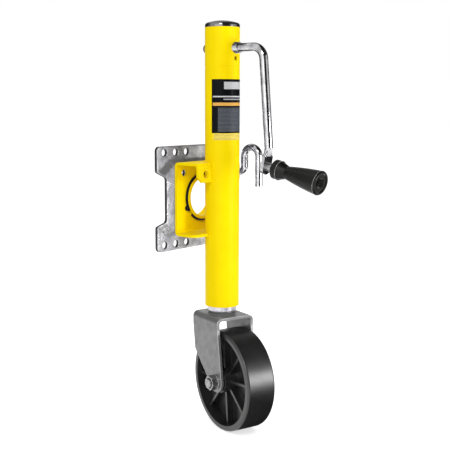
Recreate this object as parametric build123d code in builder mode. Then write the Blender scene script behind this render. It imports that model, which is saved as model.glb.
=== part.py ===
"""Swing-back trailer tongue jack with a side-wind crank and a swivelling caster wheel.

Frame: millimetres, +Z up and parallel to the jack tube, -Y toward the crank (the front).
The origin is the centre of the mounting plate on its back face, on the swivel's axis.
The wheel is cranked fully up and the pull pin is drawn clear of the mounting plate.
"""

import os
from math import acos, atan2, cos, hypot, pi, radians, sin, tan

from build123d import *

os.makedirs("parts", exist_ok=True)

# ---------------------------------------------------------------- driving dimensions (mm)
# Clearances
running_fit = 0.08  # radial clearance of a shaft in its bearing
assembly_gap = 0.1  # axial gap between pieces that turn past each other
sliding_gap = 0.7  # radial clearance between the two telescoping tubes
seat_fit = 0.03  # radial clearance of a piece pinned or clamped on its shaft

# Mounting plate
plate_width = 164.0
plate_height = 155.0
plate_thickness = 4.5
plate_corner = 7.0
waist_width = 141.0
waist_height = 62.0
shoulder_height = 80.0  # height at which the waist has widened to the full plate
pan_rise = 8.5
pan_foot_height = 116.0  # the raised band, where it leaves the flat sheet
pan_foot_width = 120.0
pan_height = 100.0  # its flat front
pan_width = 108.0
pan_corner_fall = 21.0  # how far the band's corners run down toward the waist
pan_side = 25.0  # how far its sides run out past its top and bottom edges
bolt_hole = 11.0
bolt_rows = 136.5  # between the top and bottom rows
bolt_inner = 19.0  # the innermost holes from the middle, on the left side alone
bolt_pitch = 23.75  # from each hole to the next one outward

# Swivel
collar_bore = 57.8
collar_wall = 4.4
collar_flange = 76.0
collar_flange_thickness = 5.0
collar_lip = 1.5  # collar in front of the retaining ring
collar_chamfer = 0.8
ring_thickness = 2.4
ring_groove_depth = 1.6
ring_width = 4.4
ring_gap_angle = 16.0
ring_gap_at = 220.0
ring_lug = 8.5
ring_lug_hole = 3.4
washer_thickness = 1.0
washer_outer = 91.0

# Jack tube
tube_od = 50.8
tube_wall = 2.5
tube_length = 408.0
tube_offset = 58.5  # tube axis in front of the plate's back face
swivel_height = 160.0  # swivel axis above the tube's lower end
crimp_below_top = 56.5
crimp_height = tube_length - crimp_below_top
crimp_length = 12.0
crimp_radius = 1.6
crimp_depth = 1.1
drain_hole = 6.5
drain_below_shaft = 15.0
cap_rim = 5.5
cap_crown = 4.6
cap_edge = 4.0
cap_skirt = 12.0
cap_wall = 2.5

# Swivel bracket
bracket_width = 109.6
bracket_height = 108.6
bracket_sheet = 4.0
bracket_bend = 7.0
ear_front = 2.0  # left ear's front face, in front of the tube axis
pin_ear_front = -4.5  # right ear's front face, which carries the pull pin
ear_drop = 28.0
ear_cut = 8.0
pin_ear_edge = 8.5  # right ear's outer edge beyond the pull pin's axis
pin_ear_clip = 9.0  # length and depth of the clipped corner behind it
lower_flange_front = -5.0  # front edge of the lower flange, in front of the tube axis
lower_flange_corner = 14.0
pin_edge = 16.3  # pull-pin axis below the bracket's top

# Pull pin
pin_diameter = 11.0
pin_travel = 7.0
pin_inset = 0.2  # extra depth of its tip inside the web when drawn
pin_bend = 8.5
pin_chamfer = 1.2
hook_radius = 13.7
hook_height = 23.3  # centre of the hook's arch above the pin's axis
hook_reach = 20.4  # free end of the hook below the pin's axis
hook_clear = 0.5  # straight shank left in front of the ear when the pin is home
lock_clear = 0.3  # radial clearance of the pin in the plate
stop_washer_od = 19.0
stop_washer_thickness = 1.8
stop_pin = 3.0
stop_pin_length = 17.0
stop_gap = 0.3  # between the stop pin and the bracket when the pin is home
spring_wire = 1.3
spring_turns = 5

# Crank
rod_diameter = 12.5
shaft_journal = 10.0  # turned-down rear end that carries the pinion
journal_shoulder = 10.8  # where it starts, behind the tube axis
shaft_below_top = 29.5  # crank shaft below the tube's upper end
shaft_height = tube_length - shaft_below_top
shaft_tail = 30.6  # rear end of the shaft behind the tube axis
shaft_chamfer = 1.0
crank_reach = 74.4  # top of the crank arm in front of the tube axis
crank_bend = 18.0
crank_splay = 4.7  # degrees that the arm leans outward
arm_drop = 141.5  # height from the shaft to the end of the round rod
tab_droop = 11.5  # degrees that the flattened end turns the grip downward
tab_width = 19.0
tab_thickness = 5.5
tab_taper = 11.0
tab_eye = 25.5  # from the end of the round rod to the grip's spindle
tab_end = 12.0  # tab beyond the spindle
tab_corner = 9.0
bush_od = 16.0
bush_wall_clear = 1.7  # how far each bush reaches inside the tube
bush_front = 7.6  # front bush in front of the tube
bush_rear = 2.6
bush_chamfer = 0.6
end_cap_od = 13.4
end_cap_wall = 1.5

# Grip
grip_length = 80.0
grip_flange = 28.0
grip_flange_length = 9.5
grip_neck = 18.6
grip_neck_at = 22.0
grip_end = 34.4
grip_end_round = 3.0
grip_dish = 26.0
grip_dish_depth = 2.5
grip_edge = 1.5  # chamfer round the flange
grip_flange_taper = 0.3
grip_flange_chamfer = 1.0
grip_swell = 0.6  # how much the grip bellies out between its neck and its end
grip_swell_at = 8.0  # beyond the middle of the grip
spindle_diameter = 8.0
spindle_head = 12.0
spindle_head_height = 5.0
spindle_shoulder = 14.0
spindle_rivet = 13.0
spindle_rivet_height = 2.4

# Bevel gears
gear_module = 1.75
pinion_teeth = 12
gear_teeth = 16
face_width = 4.8
pressure_angle = 25.0
addendum_factor = 0.9
dedendum_factor = 1.2
backlash = 0.3
pinion_hub = 16.8
pinion_hub_end = 20.8  # rear end of the pinion's hub behind the tube axis
pinion_pin_inset = 2.6  # its roll pin ahead of that end
gear_hub = 20.0
gear_hub_top = 14.0  # where the gear's plain hub begins, below the crank shaft
roll_pin = 3.5
roll_pin_inset = 0.4  # each end of a roll pin below its hub's surface

# Lead screw and its bearing
screw_diameter = 18.0
screw_end = 45.0  # lower end of the screw above the tube's lower end
journal_diameter = 12.0
journal_below_shaft = 8.2
screw_collar_od = 24.0
screw_collar_height = 6.0
screw_chamfer = 1.5
bearing_plate_thickness = 5.0
race_od = 28.0
race_thickness = 2.4
race_bore_clear = 0.5
ball_diameter = 5.0
ball_count = 8
ball_circle = 20.4
cage_thickness = 1.4
cage_clear = 0.15

# Ram
ram_wall = 2.0
ram_end = -7.0  # lower end of the ram against the tube's lower end
nut_height = 20.0
nut_flange = 2.0
nut_top_gap = 3.0  # between the nut and the screw's collar, fully up
key_height = 25.0
key_diameter = 6.0
key_head = 11.0
key_head_height = 2.0
keyway_side_gap = 0.2
keyway_depth = 1.2
keyway_end_gap = 8.0
ram_travel = 254.0
plug_height = 12.0

# Caster
caster_yaw = -17.3
kingpin_diameter = 16.0
kingpin_head = 26.0
kingpin_head_height = 6.0
kingpin_chamfer = 1.5
kingpin_nut_af = 22.0
kingpin_nut_height = 6.0
kingpin_point = 1.5  # kingpin beyond its nut
kingpin_washer_od = 28.0
thrust_washer = 2.0
thrust_washer_od = 40.0
fork_sheet = 4.0
fork_dome = 43.0
fork_dome_rise = 3.0
fork_dome_slope = 3.5
fork_gap = 55.0
fork_bend = 8.0
fork_front = 37.0  # front edge of the fork's crown from the kingpin
fork_rear = 32.0
fork_waist_drop = 69.0  # rear corner of the arms below the tube's lower end
fork_waist_rear = 26.5
fork_toe = 15.5  # radius of the arms round the axle
fork_toe_angle = 50.0  # where the arms' rear edge meets that radius, below the axle's level
axle_trail = 32.5
axle_drop = 107.0  # axle below the tube's lower end
axle_diameter = 12.0
axle_head_af = 19.0
axle_head_height = 7.5
axle_nut_height = 9.5
axle_washer_od = 22.0
axle_washer_thickness = 2.0
axle_point = 3.0
sleeve_od = 16.0

# Wheel
wheel_diameter = 150.0
wheel_width = 47.0
wheel_shoulder = 3.5
rim_thickness = 8.5
rim_draft = 3.0
web_thickness = 7.0
hub_diameter = 34.0
hub_width = 50.0
rib_count = 8
rib_thickness = 4.0
rib_inset = 9.0  # ribs' outer ends behind the wheel's face
rib_phase = 5.0
bush_wall = 3.0

# ---------------------------------------------------------------- derived places
tube_r = tube_od / 2
tube_inner = tube_r - tube_wall
rod_r = rod_diameter / 2
pin_r = pin_diameter / 2
pin_spread = bracket_height / 2 - pin_edge  # pull-pin axis from the swivel axis, sideways and upward
pan_face = plate_thickness + pan_rise  # front of the plate's raised centre, in front of the origin
web_back = pan_face + washer_thickness
web_front = web_back + bracket_sheet
collar_r = collar_bore / 2 + collar_wall
groove_r = collar_r - ring_groove_depth
ring_back = web_front + assembly_gap
collar_front = ring_back + ring_thickness + collar_lip
bolt_columns = [bolt_inner + i * bolt_pitch for i in range(3)]

# Planes on the jack: its own base at the tube's lower end, and upright ones facing the front.
jack = Plane(origin=(0, -tube_offset, -swivel_height))
side = Plane(origin=jack.origin, x_dir=(0, -1, 0), z_dir=(-1, 0, 0))  # x forward, y up
web_depth = tube_offset - web_back  # back of the bracket's web behind the tube axis


def facing(forward: float, height: float = 0.0, across: float = 0.0) -> Plane:
    """Upright plane that looks forward, measured from the tube axis and the tube's lower end."""
    return Plane(origin=jack.from_local_coords((across, -forward, height)), x_dir=(1, 0, 0), z_dir=(0, -1, 0))


def save(piece: BuildPart, name: str) -> None:
    """Label a finished piece and write its STEP file."""
    piece.part.label = name
    export_step(piece.part, f"parts/{name}.step")


# ================================================================ mounting plate and swivel
with BuildSketch(Plane.XZ) as plate_outline:
    with BuildLine():
        Polyline(
            (plate_width / 2, plate_height / 2),
            (plate_width / 2, shoulder_height / 2),
            (waist_width / 2, waist_height / 2),
            (waist_width / 2, -waist_height / 2),
            (plate_width / 2, -shoulder_height / 2),
            (plate_width / 2, -plate_height / 2),
            (-plate_width / 2, -plate_height / 2),
            (-plate_width / 2, -shoulder_height / 2),
            (-waist_width / 2, -waist_height / 2),
            (-waist_width / 2, waist_height / 2),
            (-plate_width / 2, shoulder_height / 2),
            (-plate_width / 2, plate_height / 2),
            close=True,
        )
    make_face()
    fillet(vertices(), radius=plate_corner)


def band(width: float, height: float) -> list:
    """Corners of the plate's raised band, which runs out past the waist on both sides."""
    x, y = width / 2, height / 2
    side_x, side_y = x + pan_side, y - pan_corner_fall
    return [(x, y), (side_x, side_y), (side_x, -side_y), (x, -y),
            (-x, -y), (-side_x, -side_y), (-side_x, side_y), (-x, y)]


with BuildPart() as mounting_plate:
    extrude(plate_outline.sketch, amount=plate_thickness)
    # raised band, pressed forward out of the sheet and open at the waist
    for level, mode in ((plate_thickness, Mode.ADD), (0.0, Mode.SUBTRACT)):
        with BuildSketch(Plane.XZ.offset(level)):
            Polygon(*band(pan_foot_width, pan_foot_height), align=None)
        with BuildSketch(Plane.XZ.offset(level + pan_rise)):
            Polygon(*band(pan_width, pan_height), align=None)
        loft(ruled=True, mode=mode)
    extrude(plate_outline.sketch, amount=pan_face, mode=Mode.INTERSECT)
    with BuildSketch(Plane.XZ):
        Circle(collar_r)
        with GridLocations(2 * pin_spread, 2 * pin_spread, 2, 2):
            Circle(pin_r + lock_clear)
        with Locations((-bolt_columns[0], bolt_rows / 2), (-bolt_columns[0], -bolt_rows / 2)):
            Circle(bolt_hole / 2)
        for column in bolt_columns[1:]:
            with GridLocations(2 * column, bolt_rows, 2, 2):
                Circle(bolt_hole / 2)
    extrude(amount=pan_face, mode=Mode.SUBTRACT)
save(mounting_plate, "mounting_plate")

with BuildPart() as swivel_collar:
    with BuildSketch(Plane.XZ.offset(pan_rise - collar_flange_thickness)):
        Circle(collar_flange / 2)
    extrude(amount=collar_flange_thickness)
    with BuildSketch(Plane.XZ.offset(pan_rise)):
        Circle(collar_r)
    extrude(amount=collar_front - pan_rise)
    chamfer(edges().sort_by(Axis.Y)[0], length=collar_chamfer)
    with BuildSketch(Plane.XZ.offset(ring_back - assembly_gap / 2)):
        Circle(collar_r)
        Circle(groove_r, mode=Mode.SUBTRACT)
    extrude(amount=ring_thickness + assembly_gap, mode=Mode.SUBTRACT)
    with BuildSketch(Plane.XZ):
        Circle(collar_bore / 2)
    extrude(amount=collar_front, mode=Mode.SUBTRACT)
save(swivel_collar, "swivel_collar")

with BuildPart() as retaining_ring:
    with BuildSketch(Plane.XZ.offset(ring_back)):
        Circle(groove_r + ring_width)
        # the two plier lugs stand on either side of the gap
        with PolarLocations(groove_r + ring_width, 2, ring_gap_at - ring_gap_angle, 2 * ring_gap_angle):
            Circle(ring_lug / 2)
        Circle(groove_r, mode=Mode.SUBTRACT)
        with Locations((0, 0)):
            Rectangle(
                2 * tube_od,
                2 * groove_r * sin(radians(ring_gap_angle / 2)),
                rotation=ring_gap_at,
                align=(Align.MIN, Align.CENTER),
                mode=Mode.SUBTRACT,
            )
        with PolarLocations(groove_r + ring_width, 2, ring_gap_at - ring_gap_angle, 2 * ring_gap_angle):
            Circle(ring_lug_hole / 2, mode=Mode.SUBTRACT)
    extrude(amount=ring_thickness)
save(retaining_ring, "retaining_ring")

with BuildPart() as swivel_washer:
    with BuildSketch(Plane.XZ.offset(pan_face + assembly_gap / 2)):
        Circle(washer_outer / 2)
        Circle(collar_r + running_fit, mode=Mode.SUBTRACT)
    extrude(amount=washer_thickness - assembly_gap / 2)
save(swivel_washer, "swivel_washer")

# ================================================================ jack tube
with BuildPart() as outer_tube:
    with BuildSketch(jack):
        Circle(tube_r)
        Circle(tube_inner, mode=Mode.SUBTRACT)
    extrude(amount=tube_length)
    # crimps over the bearing plate: a groove outside, a ridge inside
    for quarter in range(4):
        turned = Plane(origin=jack.offset(crimp_height).origin, x_dir=(1, 0, 0)).rotated((0, 0, 45 + 90 * quarter))
        across = Plane(origin=turned.origin, x_dir=turned.x_dir, z_dir=turned.y_dir)
        with BuildSketch(across.offset(-crimp_length / 2)):
            with Locations((tube_inner + crimp_radius - crimp_depth, 0)):
                Circle(crimp_radius)
        extrude(amount=crimp_length)
        with BuildSketch(across.offset(-crimp_length / 2)):
            with Locations((tube_r + crimp_radius - crimp_depth, 0)):
                Circle(crimp_radius)
        extrude(amount=crimp_length, mode=Mode.SUBTRACT)
    with BuildSketch(facing(-tube_od, shaft_height)):
        Circle(bush_od / 2)
    extrude(amount=2 * tube_od, mode=Mode.SUBTRACT)
    with BuildSketch(facing(0, shaft_height - drain_below_shaft)):
        Circle(drain_hole / 2)
    extrude(amount=tube_od, mode=Mode.SUBTRACT)
    with BuildSketch(facing(-tube_od, key_height)):
        Circle(key_diameter / 2)
    extrude(amount=tube_od, mode=Mode.SUBTRACT)
save(outer_tube, "outer_tube")

with BuildPart() as top_cap:
    with BuildSketch(side):
        with BuildLine():
            ThreePointArc(
                (0, tube_length + cap_rim + cap_crown),
                (tube_r / 2, tube_length + cap_rim + 0.75 * cap_crown),
                (tube_r, tube_length + cap_rim),
            )
            Polyline(
                (tube_r, tube_length + cap_rim),
                (tube_r, tube_length),
                (tube_inner - assembly_gap, tube_length),
                (tube_inner - assembly_gap, tube_length - cap_skirt),
                (tube_inner - cap_wall, tube_length - cap_skirt),
                (tube_inner - cap_wall, tube_length + cap_rim - cap_wall),
                (0, tube_length + cap_rim - cap_wall),
                (0, tube_length + cap_rim + cap_crown),
            )
        make_face()
        fillet(vertices().group_by(Axis.X)[-1].sort_by(Axis.Y)[-1], radius=cap_edge)
    revolve(axis=Axis(jack.origin, (0, 0, 1)))
save(top_cap, "top_cap")

# Swivel bracket: a C-shaped pressing with a pair of ears that guide the pull pin
with BuildPart() as swivel_bracket:
    top, bottom = swivel_height + bracket_height / 2, swivel_height - bracket_height / 2
    for ear, reach in ((ear_front, bracket_width / 2), (pin_ear_front, -bracket_width / 2)):
        with BuildSketch(side):
            with BuildLine():
                FilletPolyline(
                    (ear - bracket_sheet / 2, top - ear_drop),
                    (ear - bracket_sheet / 2, top - bracket_sheet / 2),
                    (bracket_sheet / 2 - web_depth, top - bracket_sheet / 2),
                    (bracket_sheet / 2 - web_depth, bottom + bracket_sheet / 2),
                    (lower_flange_front, bottom + bracket_sheet / 2),
                    radius=bracket_bend - bracket_sheet / 2,
                )
            trace(line_width=bracket_sheet)
        extrude(amount=reach)
    # tube seat, and the opening between the ears
    with BuildSketch(jack.offset(bottom)):
        Circle(tube_r)
        with Locations((0, -tube_r)):
            Rectangle(tube_od, tube_od)
    extrude(amount=bracket_height, mode=Mode.SUBTRACT)
    # outer lower corners of the ears, then outer front corners of the lower flange
    ear_end = bracket_height / 2 - ear_drop
    outer = edges().filter_by(lambda e: abs(abs(e.center().X) - bracket_width / 2) < assembly_gap)
    chamfer(outer.filter_by(Axis.Y).filter_by(lambda e: abs(e.center().Z - ear_end) < assembly_gap),
            length=ear_cut)
    flange_y = -tube_offset - lower_flange_front
    outer = edges().filter_by(lambda e: abs(abs(e.center().X) - bracket_width / 2) < assembly_gap)
    fillet(outer.filter_by(Axis.Z).filter_by(lambda e: abs(e.center().Y - flange_y) < assembly_gap
                                             and e.center().Z < 0), radius=lower_flange_corner)
    # the right ear is narrower, with a clipped corner behind it
    pin_ear = Plane.XY.offset(bracket_height / 2)
    ear_x, ear_y = pin_spread + pin_ear_edge, -tube_offset - pin_ear_front
    clip_y = ear_y + bracket_bend + pin_ear_clip
    with BuildSketch(pin_ear):
        Polygon((ear_x, ear_y), (ear_x, ear_y + bracket_bend), (ear_x + pin_ear_clip, clip_y),
                (ear_x + pin_ear_clip, ear_y), align=None)
    extrude(amount=-ear_drop, mode=Mode.SUBTRACT)
    with BuildSketch(facing(-web_depth, swivel_height)):
        Circle(collar_r + running_fit)
        with Locations((-pin_spread, pin_spread), (pin_spread, pin_spread)):
            Circle(pin_r + running_fit)
    extrude(amount=bracket_sheet, mode=Mode.SUBTRACT)
    for ear, across in ((ear_front, -pin_spread), (pin_ear_front, pin_spread)):
        with BuildSketch(facing(ear, swivel_height + pin_spread, across)):
            Circle(pin_r + running_fit)
        extrude(amount=-bracket_sheet, mode=Mode.SUBTRACT)
save(swivel_bracket, "swivel_bracket")

with BuildPart() as anti_rotation_key:
    with BuildSketch(facing(-tube_r, key_height)):
        Circle(key_head / 2)
    extrude(amount=-key_head_height)
    chamfer(edges().sort_by(Axis.Y)[-1], length=key_head_height / 2)
    with BuildSketch(facing(-tube_r, key_height)):
        Circle(key_diameter / 2)
    extrude(amount=tube_wall + sliding_gap + keyway_depth - keyway_side_gap)
save(anti_rotation_key, "anti_rotation_key")

# ================================================================ pull pin and its spring
pin_side = Plane(
    origin=jack.from_local_coords((pin_spread, 0, swivel_height + pin_spread)), x_dir=(0, -1, 0), z_dir=(-1, 0, 0)
)
pin_tip = assembly_gap - web_depth + pin_inset  # just inside the web when drawn
hook_start = pin_ear_front + hook_clear + pin_travel
hook_near = hook_start + pin_bend
hook_far = hook_near + 2 * hook_radius
stop_at = bracket_sheet - web_depth + stop_gap + stop_pin / 2 + pin_travel
washer_at = stop_at + stop_pin / 2

with BuildPart() as pull_pin:
    with BuildLine(pin_side):
        Line((pin_tip, 0), (hook_start, 0))
        CenterArc((hook_start, pin_bend), pin_bend, -90, 90)
        Line((hook_near, pin_bend), (hook_near, hook_height))
        CenterArc((hook_near + hook_radius, hook_height), hook_radius, 180, -180)
        Line((hook_far, hook_height), (hook_far, -hook_reach))
    with BuildSketch(Plane(origin=pin_side.from_local_coords((pin_tip, 0)), z_dir=(0, -1, 0))):
        Circle(pin_r)
    sweep()
    chamfer(edges().sort_by(Axis.Y)[-1], length=pin_chamfer)
    with BuildSketch(Plane(origin=pin_side.from_local_coords((stop_at, 0)), z_dir=(1, 0, 0))):
        Circle(stop_pin / 2)
    extrude(amount=pin_diameter, both=True, mode=Mode.SUBTRACT)
save(pull_pin, "pull_pin")

with BuildPart() as pull_pin_stop:
    with BuildSketch(Plane(origin=pin_side.from_local_coords((stop_at, 0)), z_dir=(1, 0, 0))):
        Circle(stop_pin / 2)
    extrude(amount=stop_pin_length / 2, both=True)
save(pull_pin_stop, "pull_pin_stop")

with BuildPart() as pull_pin_washer:
    with BuildSketch(Plane(origin=pin_side.from_local_coords((washer_at, 0)), z_dir=(0, -1, 0))):
        Circle(stop_washer_od / 2)
        Circle(pin_r + running_fit, mode=Mode.SUBTRACT)
    extrude(amount=stop_washer_thickness)
save(pull_pin_washer, "pull_pin_washer")

spring_from = washer_at + stop_washer_thickness + spring_wire / 2 + assembly_gap
spring_to = pin_ear_front - bracket_sheet - spring_wire / 2 - assembly_gap
spring_r = pin_r + spring_wire / 2 + sliding_gap
with BuildPart() as pull_pin_spring:
    with BuildLine() as coil:
        Helix(
            pitch=(spring_to - spring_from) / spring_turns,
            height=spring_to - spring_from,
            radius=spring_r,
            center=pin_side.from_local_coords((spring_from, 0)),
            direction=(0, -1, 0),
        )
    with BuildSketch(Plane(origin=coil.line @ 0, z_dir=coil.line % 0)):
        RegularPolygon(spring_wire / 2, 6)
    sweep(is_frenet=True)
save(pull_pin_spring, "pull_pin_spring")

# ================================================================ crank and its shaft
splay = tan(radians(crank_splay))
arm_end = (crank_reach + arm_drop * splay, shaft_height - arm_drop)
tab_dir = (-sin(radians(tab_droop)), -cos(radians(tab_droop)))
grip_dir = (cos(radians(tab_droop)), -sin(radians(tab_droop)))
eye = (arm_end[0] + tab_eye * tab_dir[0], arm_end[1] + tab_eye * tab_dir[1])


def on_side(point: tuple, normal: tuple, upward: tuple) -> Plane:
    """Plane across the jack's side view at a point of it, with its local y along a given way."""
    place = side.from_local_coords(point)
    z_dir = side.from_local_coords(normal) - side.origin
    y_dir = side.from_local_coords(upward) - side.origin
    return Plane(origin=place, x_dir=y_dir.cross(z_dir), z_dir=z_dir)


tab_plane = on_side(eye, grip_dir, (-tab_dir[0], -tab_dir[1]))
pinion_pin_at = pinion_pin_inset - pinion_hub_end

with BuildPart() as crank_arm:
    with BuildSketch(facing(-shaft_tail, shaft_height)):
        Circle(shaft_journal / 2)
    extrude(amount=shaft_tail - journal_shoulder)
    chamfer(edges().sort_by(Axis.Y)[-1], length=shaft_chamfer)
    with BuildLine(side) as rod_path:
        FilletPolyline((-journal_shoulder, shaft_height), (crank_reach, shaft_height), arm_end, radius=crank_bend)
    with BuildSketch(facing(-journal_shoulder, shaft_height)):
        Circle(rod_r)
    sweep()
    # the rod is hammered flat into an eye for the grip's spindle
    with BuildSketch(Plane(origin=rod_path.line @ 1, x_dir=(1, 0, 0), z_dir=rod_path.line % 1)):
        Circle(rod_r)
    with BuildSketch(on_side((arm_end[0] + tab_taper * tab_dir[0], arm_end[1] + tab_taper * tab_dir[1]),
                             tab_dir, grip_dir)):
        RectangleRounded(tab_width, tab_thickness, tab_thickness / 2 - assembly_gap)
    loft()
    with BuildSketch(tab_plane.offset(-tab_thickness / 2)):
        with Locations((0, tab_eye - tab_taper)):
            Rectangle(tab_width, tab_eye - tab_taper + tab_end, align=(Align.CENTER, Align.MAX))
        fillet(vertices().sort_by(Axis.Y)[:2], radius=tab_corner)
    extrude(amount=tab_thickness)
    with BuildSketch(tab_plane.offset(-tab_thickness)):
        Circle(spindle_diameter / 2)
    extrude(amount=2 * tab_thickness, mode=Mode.SUBTRACT)
    with BuildSketch(Plane(origin=side.from_local_coords((pinion_pin_at, shaft_height)), z_dir=(1, 0, 0))):
        Circle(roll_pin / 2)
    extrude(amount=rod_diameter, both=True, mode=Mode.SUBTRACT)
save(crank_arm, "crank_arm")

with BuildPart() as crank_bush_front:
    with BuildSketch(facing(tube_inner - bush_wall_clear, shaft_height)):
        Circle(bush_od / 2)
        Circle(rod_r + running_fit, mode=Mode.SUBTRACT)
    extrude(amount=bush_wall_clear + tube_wall + bush_front)
    chamfer(edges().filter_by(GeomType.CIRCLE).sort_by(Axis.Y)[:1], length=bush_chamfer)
save(crank_bush_front, "crank_bush_front")

with BuildPart() as crank_bush_rear:
    with BuildSketch(facing(-tube_inner + bush_wall_clear, shaft_height)):
        Circle(bush_od / 2)
        Circle(shaft_journal / 2 + running_fit, mode=Mode.SUBTRACT)
    extrude(amount=-(bush_wall_clear + tube_wall + bush_rear))
save(crank_bush_rear, "crank_bush_rear")

cap_start = tube_r + bush_rear + 2 * assembly_gap
with BuildPart() as crank_end_cap:
    with BuildSketch(facing(-cap_start, shaft_height)):
        Circle(end_cap_od / 2)
    extrude(amount=-(shaft_tail - cap_start + end_cap_wall))
    fillet(edges().sort_by(Axis.Y)[-1], radius=end_cap_wall)
    with BuildSketch(facing(-cap_start, shaft_height)):
        Circle(shaft_journal / 2)
    extrude(amount=-(shaft_tail - cap_start), mode=Mode.SUBTRACT)
save(crank_end_cap, "crank_end_cap")

grip_start = tab_thickness / 2 + spindle_shoulder
with BuildPart() as grip_spindle:
    with BuildSketch(tab_plane.offset(-tab_thickness / 2)):
        Circle(spindle_head / 2)
    extrude(amount=-spindle_head_height)
    fillet(faces().sort_by(Axis.Y)[-1].edges(), radius=spindle_head_height / 2)
    with BuildSketch(tab_plane.offset(-tab_thickness / 2)):
        Circle(spindle_diameter / 2)
    extrude(amount=grip_start + tab_thickness / 2 + grip_length - grip_dish_depth + assembly_gap)
    with BuildSketch(tab_plane.offset(tab_thickness / 2)):
        Circle(spindle_head / 2)
    extrude(amount=spindle_shoulder - assembly_gap)
    with BuildSketch(tab_plane.offset(grip_start + grip_length - grip_dish_depth + assembly_gap)):
        Circle(spindle_rivet / 2)
    extrude(amount=spindle_rivet_height)
save(grip_spindle, "grip_spindle")

with BuildPart() as crank_grip:
    grip_section = Plane(origin=tab_plane.origin, x_dir=tab_plane.z_dir, z_dir=tab_plane.x_dir)
    bore_r = spindle_diameter / 2 + running_fit
    with BuildSketch(grip_section):
        with BuildLine():
            Polyline(
                (grip_start + grip_neck_at, grip_neck / 2),
                (grip_start + grip_flange_length + grip_flange_chamfer, grip_flange / 2 - grip_flange_chamfer),
                (grip_start + grip_flange_length, grip_flange / 2 - grip_flange_taper),
                (grip_start + grip_edge, grip_flange / 2),
                (grip_start, grip_flange / 2 - grip_edge),
                (grip_start, bore_r),
                (grip_start + grip_length - grip_dish_depth, bore_r),
                (grip_start + grip_length - grip_dish_depth, grip_dish / 2),
                (grip_start + grip_length, grip_dish / 2 + grip_swell),
                (grip_start + grip_length, grip_end / 2 - grip_end_round),
            )
            RadiusArc(
                (grip_start + grip_length, grip_end / 2 - grip_end_round),
                (grip_start + grip_length - grip_end_round, grip_end / 2),
                -grip_end_round,
            )
            Spline(
                (grip_start + grip_length - grip_end_round, grip_end / 2),
                (grip_start + grip_length / 2 + grip_swell_at, (grip_end + grip_neck) / 4 + grip_swell),
                (grip_start + grip_neck_at, grip_neck / 2),
            )
        make_face()
    revolve(axis=Axis(tab_plane.origin, tab_plane.z_dir))
save(crank_grip, "crank_grip")

# ================================================================ bevel gear pair
mean_pinion = gear_module * pinion_teeth / 2
mean_gear = gear_module * gear_teeth / 2
cone_distance = hypot(mean_pinion, mean_gear)
toe_scale = 1 - face_width / cone_distance
addendum = addendum_factor * gear_module
dedendum = dedendum_factor * gear_module
apex = jack.from_local_coords((0, 0, shaft_height))


def involute(angle: float) -> float:
    """Involute function of an angle in radians."""
    return tan(angle) - angle


def tooth_flank(count: int, cone: float) -> list:
    """Half-profile of a bevel tooth on its back cone, as (half width, height over the pitch line)."""
    pitch_r = gear_module * count / 2 / cos(cone)
    base_r = pitch_r * cos(radians(pressure_angle))
    half = pi * cos(cone) / (2 * count) - backlash / 4 / pitch_r + involute(radians(pressure_angle))
    levels = [pitch_r - dedendum - gear_module / 3, pitch_r - dedendum / 2, pitch_r, pitch_r + addendum / 2,
              pitch_r + addendum]
    flank = []
    for radius in levels:
        turn = half - involute(acos(min(1.0, base_r / radius)))
        flank.append((radius * sin(turn), radius * cos(turn) - pitch_r))
    return flank


def bevel(frame: Plane, count: int, mate: int, hub: float, hub_end: float, bore: float, pin_at: float,
          phase: float) -> BuildPart:
    """Straight bevel gear whose cone apex is the frame's origin and whose body lies along its -z.

    Each tooth is a ruled loft between its heel profile and the same profile scaled toward the apex.
    The roll pin's hole crosses the hub along the frame's y, at pin_at behind the apex.
    """
    cone = atan2(count, mate)
    flank = tooth_flank(count, cone)
    outline = [(x, y) for x, y in flank] + [(-x, y) for x, y in reversed(flank)]
    # a plane across the pitch element, with its local y pointing outward over the tooth
    element = Vector(sin(cone), 0, -cos(cone))
    outward = Vector(cos(cone), 0, sin(cone))
    with BuildPart() as tooth:
        for scale in (1.0, toe_scale):
            with BuildSketch(Plane(origin=element * cone_distance * scale, x_dir=outward.cross(element),
                                   z_dir=element)):
                Polygon(*[(x * scale, y * scale) for x, y in outline], align=None)
        loft(ruled=True)

    def rim(scale: float, rise: float) -> tuple:
        place = element * cone_distance * scale + outward * rise * scale
        return (place.X, place.Z)

    heel, toe = rim(1.0, -dedendum), rim(toe_scale, -dedendum)
    back_x = hub / 2
    back_z = heel[1] - (heel[0] - back_x) * tan(cone)
    with BuildPart() as gear:
        with BuildSketch(Plane.XZ):
            with BuildLine():
                Polyline(toe, heel, (back_x, back_z), (back_x, -hub_end), (0, -hub_end), (0, toe[1]), close=True)
            make_face()
        revolve(axis=Axis.Z)
        with PolarLocations(0, count, phase):
            add(tooth.part)
        with BuildSketch():
            Circle(bore)
        extrude(amount=-hub_end, mode=Mode.SUBTRACT)
        with BuildSketch(Plane.XZ):
            with Locations((0, -pin_at)):
                Circle(roll_pin / 2)
        extrude(amount=hub, both=True, mode=Mode.SUBTRACT)
    gear.part = gear.part.moved(frame.location)
    return gear


plate_top = crimp_height - crimp_radius - assembly_gap
gear_pin_height = (shaft_height - gear_hub_top + plate_top) / 2
gear_frame = Plane(origin=apex, x_dir=(0, 1, 0), z_dir=(0, 0, 1))
bevel_gear = bevel(gear_frame, gear_teeth, pinion_teeth, gear_hub, shaft_height - plate_top - assembly_gap,
                   journal_diameter / 2 + seat_fit, shaft_height - gear_pin_height, 0)
pinion_frame = Plane(origin=apex, x_dir=(0, 0, -1), z_dir=(0, -1, 0))
bevel_pinion = bevel(pinion_frame, pinion_teeth, gear_teeth, pinion_hub, pinion_hub_end, shaft_journal / 2 + seat_fit,
                     -pinion_pin_at, 180 / pinion_teeth)
save(bevel_gear, "bevel_gear")
save(bevel_pinion, "bevel_pinion")

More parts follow.
